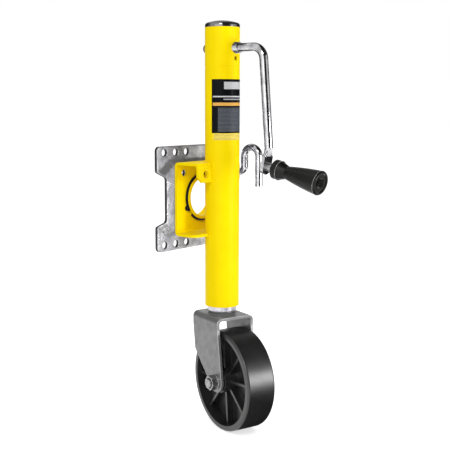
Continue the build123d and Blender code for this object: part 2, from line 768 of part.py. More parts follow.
with BuildPart() as gear_roll_pin:
    with BuildSketch(Plane(origin=jack.from_local_coords((0, 0, gear_pin_height)), z_dir=(1, 0, 0))):
        Circle(roll_pin / 2)
    extrude(amount=gear_hub / 2 - roll_pin_inset, both=True)
save(gear_roll_pin, "gear_roll_pin")

with BuildPart() as pinion_roll_pin:
    with BuildSketch(Plane(origin=jack.from_local_coords((0, -pinion_pin_at, shaft_height)), z_dir=(1, 0, 0))):
        Circle(roll_pin / 2)
    extrude(amount=pinion_hub / 2 - roll_pin_inset, both=True)
save(pinion_roll_pin, "pinion_roll_pin")

# ================================================================ lead screw and thrust bearing
with BuildPart() as bearing_plate:
    with BuildSketch(jack.offset(plate_top - bearing_plate_thickness)):
        Circle(tube_inner)
        Circle(journal_diameter / 2 + running_fit, mode=Mode.SUBTRACT)
    extrude(amount=bearing_plate_thickness)
save(bearing_plate, "bearing_plate")

race_top = plate_top - bearing_plate_thickness
ball_centre = race_top - race_thickness - assembly_gap - ball_diameter / 2
lower_race_top = ball_centre - ball_diameter / 2

with BuildPart() as bearing_race_upper:
    with BuildSketch(jack.offset(race_top - race_thickness)):
        Circle(race_od / 2)
        Circle(journal_diameter / 2 + race_bore_clear, mode=Mode.SUBTRACT)
    extrude(amount=race_thickness)
save(bearing_race_upper, "bearing_race_upper")

with BuildPart() as bearing_balls:
    with Locations(jack.offset(ball_centre)):
        with PolarLocations(ball_circle / 2, ball_count):
            Sphere(ball_diameter / 2)
save(bearing_balls, "bearing_balls")

with BuildPart() as bearing_cage:
    with BuildSketch(jack.offset(ball_centre - cage_thickness / 2)):
        Circle(race_od / 2 - race_bore_clear)
        Circle(journal_diameter / 2 + race_bore_clear, mode=Mode.SUBTRACT)
        with PolarLocations(ball_circle / 2, ball_count):
            Circle(ball_diameter / 2 + cage_clear, mode=Mode.SUBTRACT)
    extrude(amount=cage_thickness)
save(bearing_cage, "bearing_cage")

with BuildPart() as bearing_race_lower:
    with BuildSketch(jack.offset(lower_race_top - race_thickness)):
        Circle(race_od / 2)
        Circle(journal_diameter / 2 + seat_fit, mode=Mode.SUBTRACT)
    extrude(amount=race_thickness)
save(bearing_race_lower, "bearing_race_lower")

screw_shoulder = lower_race_top - race_thickness
with BuildPart() as lead_screw:
    with BuildSketch(jack.offset(screw_end)):
        Circle(screw_diameter / 2)
    extrude(amount=screw_shoulder - screw_end)
    chamfer(edges().sort_by(Axis.Z)[0], length=screw_chamfer)
    with BuildSketch(jack.offset(screw_shoulder - screw_collar_height)):
        Circle(screw_collar_od / 2)
    extrude(amount=screw_collar_height)
    with BuildSketch(jack.offset(screw_shoulder)):
        Circle(journal_diameter / 2)
    extrude(amount=shaft_height - journal_below_shaft - screw_shoulder)
    with BuildSketch(Plane(origin=jack.from_local_coords((0, 0, gear_pin_height)), z_dir=(1, 0, 0))):
        Circle(roll_pin / 2)
    extrude(amount=journal_diameter, both=True, mode=Mode.SUBTRACT)
save(lead_screw, "lead_screw")

# ================================================================ ram
ram_r = tube_inner - sliding_gap
ram_inner = ram_r - ram_wall
nut_top = screw_shoulder - screw_collar_height - nut_top_gap
ram_top = nut_top - nut_flange

with BuildPart() as inner_tube:
    with BuildSketch(jack.offset(ram_end)):
        Circle(ram_r)
        Circle(ram_inner, mode=Mode.SUBTRACT)
    extrude(amount=ram_top - ram_end)
    # keyway down the back
    with BuildSketch(jack.offset(key_height - keyway_end_gap)):
        with Locations((0, ram_r - keyway_depth)):
            Rectangle(key_diameter + 2 * keyway_side_gap, 2 * keyway_depth, align=(Align.CENTER, Align.MIN))
    extrude(amount=ram_travel + 2 * keyway_end_gap, mode=Mode.SUBTRACT)
save(inner_tube, "inner_tube")

with BuildPart() as lead_nut:
    with BuildSketch(jack.offset(nut_top - nut_height)):
        Circle(ram_inner)
    extrude(amount=nut_height)
    with BuildSketch(jack.offset(ram_top)):
        Circle(ram_r)
    extrude(amount=nut_flange)
    with BuildSketch(jack.offset(nut_top)):
        Circle(screw_diameter / 2 + running_fit)
    extrude(amount=-nut_height, mode=Mode.SUBTRACT)
save(lead_nut, "lead_nut")

with BuildPart() as ram_end_plug:
    with BuildSketch(jack.offset(ram_end)):
        Circle(ram_inner)
        Circle(kingpin_diameter / 2, mode=Mode.SUBTRACT)
    extrude(amount=plug_height)
save(ram_end_plug, "ram_end_plug")

# ================================================================ caster, turned about the tube axis
caster = Plane(
    origin=jack.origin, x_dir=(cos(radians(caster_yaw)), sin(radians(caster_yaw)), 0), z_dir=(0, 0, 1)
)
# side view of the caster: x along its trail, y up
trail_view = Plane(origin=caster.origin, x_dir=-caster.y_dir, z_dir=-caster.x_dir)
dome_top = ram_end - thrust_washer - 2 * assembly_gap
crown_top = dome_top - fork_dome_rise
crown_under = crown_top - fork_sheet
king_washer_top = crown_under + fork_dome_rise - assembly_gap
king_nut_top = king_washer_top - thrust_washer
fork_outer = fork_gap / 2 + fork_sheet
fork_middle = (fork_gap + fork_sheet) / 2
axle_point_at = (axle_trail, -axle_drop)

with BuildPart() as kingpin:
    with BuildSketch(jack.offset(ram_end + plug_height)):
        Circle(kingpin_head / 2)
    extrude(amount=kingpin_head_height)
    chamfer(edges().sort_by(Axis.Z)[-1], length=kingpin_chamfer)
    with BuildSketch(jack.offset(ram_end + plug_height)):
        Circle(kingpin_diameter / 2)
    extrude(amount=-(ram_end + plug_height - king_nut_top + kingpin_nut_height + kingpin_point))
save(kingpin, "kingpin")

with BuildPart() as caster_thrust_washer:
    with BuildSketch(jack.offset(dome_top + assembly_gap)):
        Circle(thrust_washer_od / 2)
        Circle(kingpin_diameter / 2 + running_fit, mode=Mode.SUBTRACT)
    extrude(amount=thrust_washer)
save(caster_thrust_washer, "caster_thrust_washer")

with BuildPart() as kingpin_washer:
    with BuildSketch(jack.offset(king_washer_top)):
        Circle(kingpin_washer_od / 2)
        Circle(kingpin_diameter / 2 + seat_fit, mode=Mode.SUBTRACT)
    extrude(amount=-thrust_washer)
save(kingpin_washer, "kingpin_washer")

with BuildPart() as kingpin_nut:
    with BuildSketch(jack.offset(king_nut_top)):
        RegularPolygon(kingpin_nut_af / 2, 6, major_radius=False)
        Circle(kingpin_diameter / 2, mode=Mode.SUBTRACT)
    extrude(amount=-kingpin_nut_height)
save(kingpin_nut, "kingpin_nut")

# Fork: a bent U of sheet, trimmed to the outline of its arms, with a raised seat on its crown
with BuildPart() as caster_fork:
    across = Plane(origin=caster.origin, x_dir=caster.x_dir, z_dir=-caster.y_dir)
    with BuildSketch(across.offset(-fork_rear)):
        with BuildLine():
            FilletPolyline(
                (-fork_middle, -2 * axle_drop),
                (-fork_middle, crown_top - fork_sheet / 2),
                (fork_middle, crown_top - fork_sheet / 2),
                (fork_middle, -2 * axle_drop),
                radius=fork_bend - fork_sheet / 2,
            )
        trace(line_width=fork_sheet)
    extrude(amount=fork_rear + 2 * axle_trail)
    with BuildSketch(trail_view.offset(-2 * fork_outer)) as arm_outline:
        with BuildLine():
            Polyline(
                (fork_front, crown_top + fork_sheet),
                (-fork_rear, crown_top + fork_sheet),
                (-fork_rear, crown_top - 2 * fork_bend),
                (-fork_waist_rear, -fork_waist_drop),
                (axle_trail - fork_toe * cos(radians(fork_toe_angle)),
                 -axle_drop - fork_toe * sin(radians(fork_toe_angle))),
                (axle_trail + fork_toe, -axle_drop),
                (fork_front, crown_top - 2 * fork_bend),
                close=True,
            )
        make_face()
        with Locations(axle_point_at):
            Circle(fork_toe)
    extrude(amount=4 * fork_outer, mode=Mode.INTERSECT)
    for level, mode in ((crown_top, Mode.ADD), (crown_under, Mode.SUBTRACT)):
        with BuildSketch(jack.offset(level)):
            Circle(fork_dome / 2)
        with BuildSketch(jack.offset(level + fork_dome_rise)):
            Circle(fork_dome / 2 - fork_dome_slope)
        loft(mode=mode)
    with BuildSketch(jack.offset(crown_under)):
        Circle(kingpin_diameter / 2 + running_fit)
    extrude(amount=2 * fork_sheet, mode=Mode.SUBTRACT)
    with BuildSketch(trail_view.offset(-2 * fork_outer)):
        with Locations(axle_point_at):
            Circle(axle_diameter / 2 + seat_fit)
    extrude(amount=4 * fork_outer, mode=Mode.SUBTRACT)
save(caster_fork, "caster_fork")

# ---------------------------------------------------------------- axle, clamped in the fork
# axle_view looks along the axle from its nut end; its z runs from the head to the nut
axle_view = Plane(origin=trail_view.from_local_coords(axle_point_at), x_dir=(0, 0, 1), z_dir=-caster.x_dir)
head_seat = fork_outer + axle_washer_thickness

with BuildPart() as axle_bolt:
    with BuildSketch(axle_view.offset(-head_seat)):
        RegularPolygon(axle_head_af / 2, 6, major_radius=False)
    extrude(amount=-axle_head_height)
    with BuildSketch(axle_view.offset(-head_seat)):
        Circle(axle_diameter / 2)
    extrude(amount=2 * head_seat + axle_nut_height + axle_point)
save(axle_bolt, "axle_bolt")

with BuildPart() as axle_nut:
    with BuildSketch(axle_view.offset(head_seat)):
        RegularPolygon(axle_head_af / 2, 6, major_radius=False, rotation=20)
        Circle(axle_diameter / 2, mode=Mode.SUBTRACT)
    extrude(amount=axle_nut_height)
save(axle_nut, "axle_nut")

with BuildPart() as axle_washers:
    for start in (-head_seat, fork_outer):
        with BuildSketch(axle_view.offset(start)):
            Circle(axle_washer_od / 2)
            Circle(axle_diameter / 2 + seat_fit, mode=Mode.SUBTRACT)
        extrude(amount=axle_washer_thickness)
save(axle_washers, "axle_washers")

with BuildPart() as axle_sleeve:
    with BuildSketch(axle_view.offset(-fork_gap / 2)):
        Circle(sleeve_od / 2)
        Circle(axle_diameter / 2 + seat_fit, mode=Mode.SUBTRACT)
    extrude(amount=fork_gap)
save(axle_sleeve, "axle_sleeve")

# ================================================================ wheel
bush_inner = sleeve_od / 2 + running_fit
bush_outer = bush_inner + bush_wall
with BuildPart() as wheel_bush:
    with BuildSketch(axle_view.offset(-hub_width / 2)):
        Circle(bush_outer)
        Circle(bush_inner, mode=Mode.SUBTRACT)
    extrude(amount=hub_width)
save(wheel_bush, "wheel_bush")

wheel_r = wheel_diameter / 2
rim_r = wheel_r - rim_thickness
with BuildPart() as caster_wheel:
    section = Plane(origin=axle_view.origin, x_dir=axle_view.z_dir, z_dir=axle_view.y_dir)
    with BuildSketch(section):
        with BuildLine():
            Polyline(
                (wheel_width / 2, rim_r),
                (web_thickness / 2, rim_r - rim_draft),
                (web_thickness / 2, hub_diameter / 2 + rim_draft / 2),
                (hub_width / 2, hub_diameter / 2),
                (hub_width / 2, bush_outer),
                (-hub_width / 2, bush_outer),
                (-hub_width / 2, hub_diameter / 2),
                (-web_thickness / 2, hub_diameter / 2 + rim_draft / 2),
                (-web_thickness / 2, rim_r - rim_draft),
                (-wheel_width / 2, rim_r),
                (-wheel_width / 2, wheel_r),
                (wheel_width / 2, wheel_r),
                close=True,
            )
        make_face()
        fillet(vertices().group_by(Axis.Y)[-1], radius=wheel_shoulder)
    revolve(axis=Axis(axle_view.origin, axle_view.z_dir))
    # ribs on both faces of the web
    rib_from, rib_to = hub_diameter / 2, rim_r
    with BuildSketch(axle_view.offset(rib_inset - wheel_width / 2)):
        with PolarLocations((rib_from + rib_to) / 2, rib_count, rib_phase):
            Rectangle(rib_to - rib_from, rib_thickness)
    extrude(amount=wheel_width - 2 * rib_inset)
save(caster_wheel, "caster_wheel")

print(f"bevel cone distance {cone_distance:.2f} mm, crank eye at {eye[0]:.1f}, {eye[1]:.1f} mm")
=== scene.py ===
"""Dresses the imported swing-back trailer jack and stands it in a plain studio.

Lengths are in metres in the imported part's frame: +Z up along the jack's tube, -Y toward the crank.
Every CAD node keeps its solid and gets a finish, or is replaced by a finer mesh of the same size.
"""

import logging
import math
from dataclasses import dataclass
from enum import Enum

import bpy
from mathutils import Matrix, Vector


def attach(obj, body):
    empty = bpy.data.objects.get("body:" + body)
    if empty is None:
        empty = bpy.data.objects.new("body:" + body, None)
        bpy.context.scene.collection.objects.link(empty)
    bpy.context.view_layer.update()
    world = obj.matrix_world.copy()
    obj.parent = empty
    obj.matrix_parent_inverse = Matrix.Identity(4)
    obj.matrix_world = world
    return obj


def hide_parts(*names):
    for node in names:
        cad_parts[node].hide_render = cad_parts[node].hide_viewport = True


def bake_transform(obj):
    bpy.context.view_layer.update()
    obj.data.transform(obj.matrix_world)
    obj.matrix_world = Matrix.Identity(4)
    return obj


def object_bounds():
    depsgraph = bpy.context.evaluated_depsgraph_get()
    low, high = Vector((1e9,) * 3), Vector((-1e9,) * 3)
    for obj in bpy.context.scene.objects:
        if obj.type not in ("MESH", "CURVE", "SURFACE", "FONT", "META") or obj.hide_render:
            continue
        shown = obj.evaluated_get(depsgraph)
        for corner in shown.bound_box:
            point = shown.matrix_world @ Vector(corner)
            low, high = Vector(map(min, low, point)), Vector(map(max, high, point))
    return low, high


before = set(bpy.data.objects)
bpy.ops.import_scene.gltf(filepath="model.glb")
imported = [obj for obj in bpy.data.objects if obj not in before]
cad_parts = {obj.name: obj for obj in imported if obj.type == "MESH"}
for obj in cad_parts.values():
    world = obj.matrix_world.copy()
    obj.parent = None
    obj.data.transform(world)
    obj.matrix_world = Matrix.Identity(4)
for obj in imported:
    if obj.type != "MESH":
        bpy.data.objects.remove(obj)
CAD_BOX = [list(corner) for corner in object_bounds()]

Socket = bpy.types.NodeSocket
Colour = tuple[float, float, float]
Point = tuple[float, float, float]
Span = tuple[float, float]  # two limits, or two measures that go together
LOG = logging.getLogger("jack")

TUBE_AXIS: Span = (0.0, -0.0585)  # X and Y
LABEL_FOOT, LABEL_TOP = 0.0870, 0.1740
AXLE_MIDDLE: Point = (-0.009665, -0.08953, -0.267)
AXLE_AHEAD: Point = (-0.95476, 0.29737, 0.0)  # toward the axle's nut


class Body(Enum):
    """The CAD bodies that added pieces ride on."""

    JACK = "jack_body"
    PIN = "pull_pin_group"
    GRIP = "grip"
    CASTER = "caster"
    WHEEL = "wheel"


class Slot(Enum):
    """The record's material slots that added pieces match; only paint is told apart, and kept out of
    reflections.
    """

    PAINT = "yellow_paint"
    RUBBER = "black_rubber"
    PLASTIC = "black_plastic"
    WHEEL = "black_wheel"
    ROD = "zinc_rod"
    SPRING = "spring_steel"


def new_object(name: str, data: bpy.types.ID) -> bpy.types.Object:
    """A new object in the scene that holds a mesh, a lamp or a camera.

    Args:
        name: The object's name.
        data: What it holds.

    Returns:
        The object, at the origin.
    """
    made = bpy.data.objects.new(name, data)
    bpy.context.scene.collection.objects.link(made)
    return made


# ---------------------------------------------------------------- node trees
class NodeSheet:
    """A shader or geometry node tree, with one short way to add and join nodes."""

    MIX_COLOURS = (6, 7)  # the colour inputs of a mix node
    MIX_RESULT = 2  # and its colour output

    def __init__(self, tree: bpy.types.NodeTree) -> None:
        """Start on an empty tree.

        Args:
            tree: The tree to build in. Its default nodes are removed.
        """
        self.tree = tree
        tree.nodes.clear()

    def node(self, kind: str, inputs: dict[str | int, object] | None = None,
             **settings: object) -> bpy.types.Node:
        """Add a node and join its inputs.

        Args:
            kind: Blender's type name of the node.
            inputs: Input names or numbers, each with a value or with the socket that feeds it.
            settings: The node's own properties.

        Returns:
            The new node.
        """
        made = self.tree.nodes.new(kind)
        for name, value in settings.items():
            setattr(made, name, value)
        for name, value in (inputs or {}).items():
            socket = made.inputs[name]
            if isinstance(value, Socket):
                self.tree.links.new(value, socket)
            else:
                socket.default_value = value
        return made

    def blend(self, share: Socket, low: Socket | Colour, high: Socket | Colour) -> Socket:
        """Mix two colours or two colour sockets.

        Args:
            share: Socket that gives the share of the second colour.
            low: First colour or socket.
            high: Second colour or socket.

        Returns:
            The socket that gives the mixed colour.
        """
        mixed = self.node("ShaderNodeMix", data_type="RGBA")
        self.tree.links.new(share, mixed.inputs["Factor"])
        for number, value in zip(self.MIX_COLOURS, (low, high)):
            socket = mixed.inputs[number]
            if isinstance(value, Socket):
                self.tree.links.new(value, socket)
            else:
                socket.default_value = (*value, 1.0)
        return mixed.outputs[self.MIX_RESULT]

    def ramp(self, value: Socket, low: float, high: float, start: float = 0.0,
             end: float = 1.0) -> Socket:
        """Map a value from one range to another, held at its ends.

        Args:
            value: Socket to map.
            low: Input that gives the start.
            high: Input that gives the end.
            start: Output at the low input.
            end: Output at the high input.

        Returns:
            The socket that gives the mapped value.
        """
        mapped = self.node("ShaderNodeMapRange", {"Value": value, "From Min": low, "From Max": high,
                                                  "To Min": start, "To Max": end})
        return mapped.outputs["Result"]

    def maths(self, operation: str, first: Socket | float, second: Socket | float = 0.0) -> Socket:
        """The result of one arithmetic step on numbers or sockets."""
        return self.node("ShaderNodeMath", {0: first, 1: second}, operation=operation).outputs[0]

    def noise(self, place: Socket, scale: float, detail: float = 2.0, roughness: float = 0.5) -> Socket:
        """Soft noise over a surface, from 0 to 1."""
        return self.node("ShaderNodeTexNoise", {"Vector": place, "Scale": scale, "Detail": detail,
                                                "Roughness": roughness}).outputs[0]

    def within(self, value: Socket, low: float, high: float) -> Socket:
        """1 where a value lies between two limits, otherwise 0."""
        off = self.maths("ABSOLUTE", self.maths("SUBTRACT", value, (low + high) / 2))
        return self.maths("LESS_THAN", off, (high - low) / 2)


class ShapeTree(NodeSheet):
    """A geometry node tree with named sizes, run once and turned into a plain mesh."""

    def __init__(self, name: str, sizes: dict[str, float]) -> None:
        """Start a tree with one number input for each size.

        Args:
            name: Name of the piece that the tree makes.
            sizes: The named sizes, with the values they are run with.
        """
        super().__init__(bpy.data.node_groups.new(name, "GeometryNodeTree"))
        self.name, self.sizes = name, sizes
        self.tree.interface.new_socket(name="Geometry", in_out="INPUT", socket_type="NodeSocketGeometry")
        self.keys = {size: self.tree.interface.new_socket(name=size, in_out="INPUT",
                                                          socket_type="NodeSocketFloat").identifier
                     for size in sizes}
        self.tree.interface.new_socket(name="Geometry", in_out="OUTPUT", socket_type="NodeSocketGeometry")
        self.given = self.node("NodeGroupInput").outputs

    def grow(self, shape: Socket, finish: "Finish",
             start: bpy.types.Mesh | None = None) -> bpy.types.Object:
        """Run the tree and keep its result as a mesh.

        Args:
            shape: Socket that gives the finished shape.
            finish: What the shape is made of.
            start: Mesh that the tree works on, if it needs one.

        Returns:
            The finished piece, at the origin, with no modifier.
        """
        solid = self.node("GeometryNodeRealizeInstances", {"Geometry": shape}).outputs[0]
        smooth = self.node("GeometryNodeSetShadeSmooth", {"Geometry": solid}).outputs[0]
        dressed = self.node("GeometryNodeSetMaterial", {"Geometry": smooth, "Material": finish.material()})
        self.node("NodeGroupOutput", {"Geometry": dressed.outputs[0]})
        piece = new_object(self.name, start or bpy.data.meshes.new(self.name))
        modifier = piece.modifiers.new(self.name, "NODES")
        modifier.node_group = self.tree
        for size, value in self.sizes.items():
            modifier[self.keys[size]] = value
        graph = bpy.context.evaluated_depsgraph_get()
        grown = bpy.data.meshes.new_from_object(piece.evaluated_get(graph), depsgraph=graph)
        piece.modifiers.remove(modifier)
        piece.data = grown
        grown.name = self.name
        return piece

    def placed(self, shape: Socket, place: Point | Socket, turn: Point = (0.0, 0.0, 0.0)) -> Socket:
        """Move a shape from the origin to its place, turned by Euler angles in radians."""
        return self.node("GeometryNodeTransform", {"Geometry": shape, "Translation": place,
                                                   "Rotation": turn}).outputs[0]

    def circle(self, radius: Socket | float, points: int) -> Socket:
        """A circle about Z, drawn with a number of points."""
        return self.node("GeometryNodeCurvePrimitiveCircle", {"Resolution": points, "Radius": radius},
                         mode="RADIUS").outputs["Curve"]

    def helix(self, radius: Socket, height: Socket, turns: Socket | float, points: int) -> Socket:
        """A line that climbs Z round it.

        Args:
            radius: Its distance from Z.
            height: How far it climbs in all.
            turns: How many turns it makes.
            points: Points to a turn.

        Returns:
            The socket that gives the curve.
        """
        return self.node("GeometryNodeCurveSpiral", {
            "Resolution": points, "Rotations": turns, "Start Radius": radius, "End Radius": radius,
            "Height": height}).outputs[0]

    def swept(self, path: Socket, wire: Socket, sides: int = 8) -> Socket:
        """A round wire of a given radius along a path."""
        return self.node("GeometryNodeCurveToMesh", {
            "Curve": path, "Profile Curve": self.circle(wire, sides), "Fill Caps": True}).outputs[0]


# ---------------------------------------------------------------- finishes
BEVEL_SAMPLES = 4
CLOUD_NOISE = (4.0, 0.6)  # detail and roughness of the noise that gives the cloudy patches
PATCHES = (0.35, 0.65)  # noise at which a cloudy patch starts and is full
EDGE_HIGHLIGHT_MATCH = (0.985, 0.85)  # match of rounded and flat normal where the painted edge highlight starts and where it is full


@dataclass(frozen=True)
class Finish:
    """What every finish shares: a cloudy colour, an uneven sheen and a worked surface."""

    name: str
    colour: Colour
    shade: Colour  # the colour in the cloudy patches
    sheen: Span = (0.3, 0.5)  # roughness at its smoothest and roughest
    cloud: float = 0.02  # size of the cloudy patches
    wave: float = 0.0  # depth of the surface's slow waves
    wave_share: float = 0.7  # size of a wave, as a share of a patch
    grain: float = 0.0006  # size of the fine texture
    grain_depth: float = 0.0
    edge: float = 0.0004  # radius of a rounded edge, and width of any painted highlight along it
    metallic: float = 0.0
    specular: float = 0.5
    refraction: float = 1.5
    edge_highlight: Colour | None = None  # the colour of a painted highlight along its edges

    def cloudy(self, sheet: NodeSheet, place: Socket) -> Socket:
        """The patches of this finish, from 0 to 1."""
        return sheet.ramp(sheet.noise(place, 1 / self.cloud, *CLOUD_NOISE), *PATCHES)

    def bevel(self, sheet: NodeSheet) -> Socket:
        """The surface's normal, rounded over its edges."""
        return sheet.node("ShaderNodeBevel", {"Radius": self.edge}, samples=BEVEL_SAMPLES).outputs["Normal"]

    def relief(self, sheet: NodeSheet, place: Socket) -> Socket:
        """The surface's normal, from its waves, its grain and its rounded edges.

        Args:
            sheet: The material's tree.
            place: Socket that gives the object coordinates.

        Returns:
            The socket that gives the normal.
        """
        normal = self.bevel(sheet)
        for size, depth in ((self.cloud * self.wave_share, self.wave), (self.grain, self.grain_depth)):
            if depth:
                bump = sheet.node("ShaderNodeBump", {"Height": sheet.noise(place, 1 / size),
                                                     "Normal": normal, "Strength": 1.0, "Distance": depth})
                normal = bump.outputs["Normal"]
        return normal

    def tint(self, sheet: NodeSheet, place: Socket) -> Socket:
        """The plain colour over the surface, with its patches."""
        return sheet.blend(self.cloudy(sheet, place), self.colour, self.shade)

    def with_edge_highlight(self, sheet: NodeSheet, colour: Socket) -> Socket:
        """The colour with a painted highlight along its edges, where this finish has one.

        Args:
            sheet: The material's tree.
            colour: Socket that gives the colour away from the edges.

        Returns:
            The socket that gives the whole colour.
        """
        if self.edge_highlight is None:
            return colour
        flat = sheet.node("ShaderNodeNewGeometry").outputs["True Normal"]
        # painted highlight: the colour turns pale where the rounded normal leaves the flat one, along every
        # edge
        match = sheet.node("ShaderNodeVectorMath", {0: self.bevel(sheet), 1: flat}, operation="DOT_PRODUCT")
        return sheet.blend(sheet.ramp(match.outputs["Value"], *EDGE_HIGHLIGHT_MATCH), colour, self.edge_highlight)

    def material(self) -> bpy.types.Material:
        """The material of this finish, made once.

        Returns:
            A node material that reads object coordinates.
        """
        known = bpy.data.materials.get(f"{self.name}_finish")
        if known is not None:
            return known
        made = bpy.data.materials.new(f"{self.name}_finish")
        made.use_nodes = True
        made.diffuse_color = (*self.colour, 1.0)
        sheet = NodeSheet(made.node_tree)
        place = sheet.node("ShaderNodeTexCoord").outputs["Object"]
        cloudy = self.cloudy(sheet, place)
        shader = sheet.node("ShaderNodeBsdfPrincipled", {
            "Base Color": self.with_edge_highlight(sheet, self.tint(sheet, place)),
            "Roughness": sheet.ramp(cloudy, 0.0, 1.0, *self.sheen),
            "Metallic": self.metallic,
            "IOR": self.refraction,
            "Specular IOR Level": self.specular,
            "Normal": self.relief(sheet, place),
        })
        sheet.node("ShaderNodeOutputMaterial", {"Surface": shader.outputs["BSDF"]})
        return made


@dataclass(frozen=True)
class BrushedFinish(Finish):
    """Drawn or turned metal, with fine lines along one axis."""

    along: Point = (1.0, 1.0, 0.03)  # how the lines are stretched
    line: float = 0.0007  # distance between lines
    drawn: Span = (0.45, 0.75)  # noise at which a line starts and is full
    drawn_share: float = 0.5  # how much of the shade a full line takes

    def tint(self, sheet: NodeSheet, place: Socket) -> Socket:
        """The colour over the surface: patches, crossed by drawn lines.

        Args:
            sheet: The material's tree.
            place: Socket that gives the object coordinates.

        Returns:
            The socket that gives the colour.
        """
        stretched = sheet.node("ShaderNodeMapping", {"Vector": place, "Scale": self.along})
        lines = sheet.noise(stretched.outputs["Vector"], 1 / self.line)
        drawn = sheet.ramp(lines, *self.drawn, 0.0, self.drawn_share)
        return sheet.blend(drawn, super().tint(sheet, place), self.shade)


@dataclass(frozen=True)
class PressedFinish(Finish):
    """Sheet pressed flat across Y, with painted shade on its cut edges and hole walls."""

    cut_edge_shade: Colour = (0.05, 0.05, 0.055)
    across: Span = (0.35, 0.2)  # share of the normal across the sheet, where it is plain and where the painted shade is full

    def tint(self, sheet: NodeSheet, place: Socket) -> Socket:
        """The colour over the surface: patches, and painted shade where the sheet was cut.

        Args:
            sheet: The material's tree.
            place: Socket that gives the object coordinates.

        Returns:
            The socket that gives the colour.
        """
        # painted shade: darker where the surface turns away from Y, on cut edges and in holes
        normal = sheet.node("ShaderNodeTexCoord").outputs["Normal"]
        across = sheet.node("ShaderNodeSeparateXYZ", {0: normal}).outputs["Y"]
        edge = sheet.ramp(sheet.maths("ABSOLUTE", across), *self.across)
        return sheet.blend(edge, super().tint(sheet, place), self.cut_edge_shade)


@dataclass(frozen=True)
class SpindleFinish(Finish):
    """Plated bar whose far head is painted black, as the shade inside the grip's end."""

    # painted shade: the head inside the grip's end is black
    head: Colour = (0.004, 0.004, 0.004)
    head_from: float = -0.2  # the head lies beyond this, along Y

    def tint(self, sheet: NodeSheet, place: Socket) -> Socket:
        """The colour over the spindle: plated, with its head painted black as shade.

        Args:
            sheet: The material's tree.
            place: Socket that gives the object coordinates.

        Returns:
            The socket that gives the colour.
        """
        along = sheet.node("ShaderNodeSeparateXYZ", {0: place}).outputs["Y"]
        beyond = sheet.maths("LESS_THAN", along, self.head_from)
        return sheet.blend(beyond, super().tint(sheet, place), self.head)


@dataclass(frozen=True)
class LabelPrint(Finish):
    """A printed sticker round the tube: blank bars and blocks on a dark panel, with no words."""

    panel: Span = (0.0970, LABEL_TOP)  # lower and upper edge of the dark panel
    # each block: lower edge, upper edge, angle where it starts, colour
    blocks: tuple[tuple[float, float, float, Colour], ...] = (
        (0.1598, 0.1702, -134.0, (0.52, 0.52, 0.54)),
        (0.1484, 0.1502, -172.0, (0.62, 0.62, 0.64)),
        (0.1446, 0.1462, -136.0, (0.42, 0.42, 0.44)),
        (0.1362, 0.1408, -173.0, (0.76, 0.40, 0.09)),
    )
    # each block of fine lines: lower edge, upper edge, angle where it starts, ground, lines
    lined: tuple[tuple[float, float, float, Colour, Colour], ...] = (
        (0.0992, 0.1335, -154.0, (0.035, 0.038, 0.046), (0.12, 0.13, 0.15)),
        (LABEL_FOOT, 0.0965, -168.0, (0.96, 0.76, 0.17), (0.62, 0.47, 0.08)),
    )
    line_pitch: float = 0.0019
    line_level: float = -0.35  # height of the wave above which a line is printed
    dashes: float = 20.0  # how finely a line is broken up round the tube
    dash_scale: float = 1.3  # scale of the noise that breaks it up
    broken: Span = (0.35, 0.45)  # noise at which a gap ends and a dash is full

    def fine_lines(self, sheet: NodeSheet, height: Socket, angle: Socket) -> Socket:
        """Fine level lines, broken up at random round the tube.

        Args:
            sheet: The material's tree.
            height: Socket that gives the height.
            angle: Socket that gives the angle round the tube.

        Returns:
            The socket that gives 1 on a line, otherwise 0.
        """
        wave = sheet.maths("SINE", sheet.maths("MULTIPLY", height, 2 * math.pi / self.line_pitch))
        around = sheet.node("ShaderNodeCombineXYZ", {
            "X": sheet.maths("MULTIPLY", angle, self.dashes),
            "Y": sheet.maths("MULTIPLY", height, 1 / self.line_pitch)})
        dashes = sheet.ramp(sheet.noise(around.outputs[0], self.dash_scale, 1.0), *self.broken)
        return sheet.maths("MULTIPLY", sheet.maths("GREATER_THAN", wave, self.line_level), dashes)

    def tint(self, sheet: NodeSheet, place: Socket) -> Socket:
        """The colour over the sticker, by height and by the angle round the tube.

        Args:
            sheet: The material's tree.
            place: Socket that gives the object coordinates.

        Returns:
            The socket that gives the colour.
        """
        split = sheet.node("ShaderNodeSeparateXYZ", {0: place}).outputs
        height = split["Z"]
        angle = sheet.maths("ARCTAN2", sheet.maths("SUBTRACT", split["Y"], TUBE_AXIS[1]), split["X"])
        lines = self.fine_lines(sheet, height, angle)
        inks = list(self.blocks)
        inks += [(*edges, sheet.blend(lines, ground, ink)) for *edges, ground, ink in self.lined]
        colour = sheet.blend(sheet.within(height, *self.panel), self.colour, self.shade)
        for low, high, start, ink in inks:
            printed = sheet.maths("MULTIPLY", sheet.within(height, low, high),
                                  sheet.maths("GREATER_THAN", angle, math.radians(start)))
            colour = sheet.blend(printed, colour, ink)
        return colour


YELLOW = Finish(
    "yellow_paint", (0.96, 0.73, 0.0006), (0.93, 0.69, 0.0006), sheen=(0.3, 0.4), cloud=0.05,
    grain=0.0012, grain_depth=0.00002, edge=0.0006, specular=0.035)
WELD_YELLOW = Finish(
    "yellow_weld", (0.92, 0.70, 0.001), (0.80, 0.58, 0.001), sheen=(0.3, 0.45), cloud=0.004,
    grain=0.0009, grain_depth=0.00006, edge=0.0003, specular=0.14)
PLATE_ZINC = PressedFinish(
    "zinc_sheet_plate", (0.72, 0.72, 0.73), (0.36, 0.36, 0.38), sheen=(0.24, 0.42), cloud=0.016,
    wave=0.0010, grain=0.0014, grain_depth=0.00003, edge=0.0045, metallic=0.85)
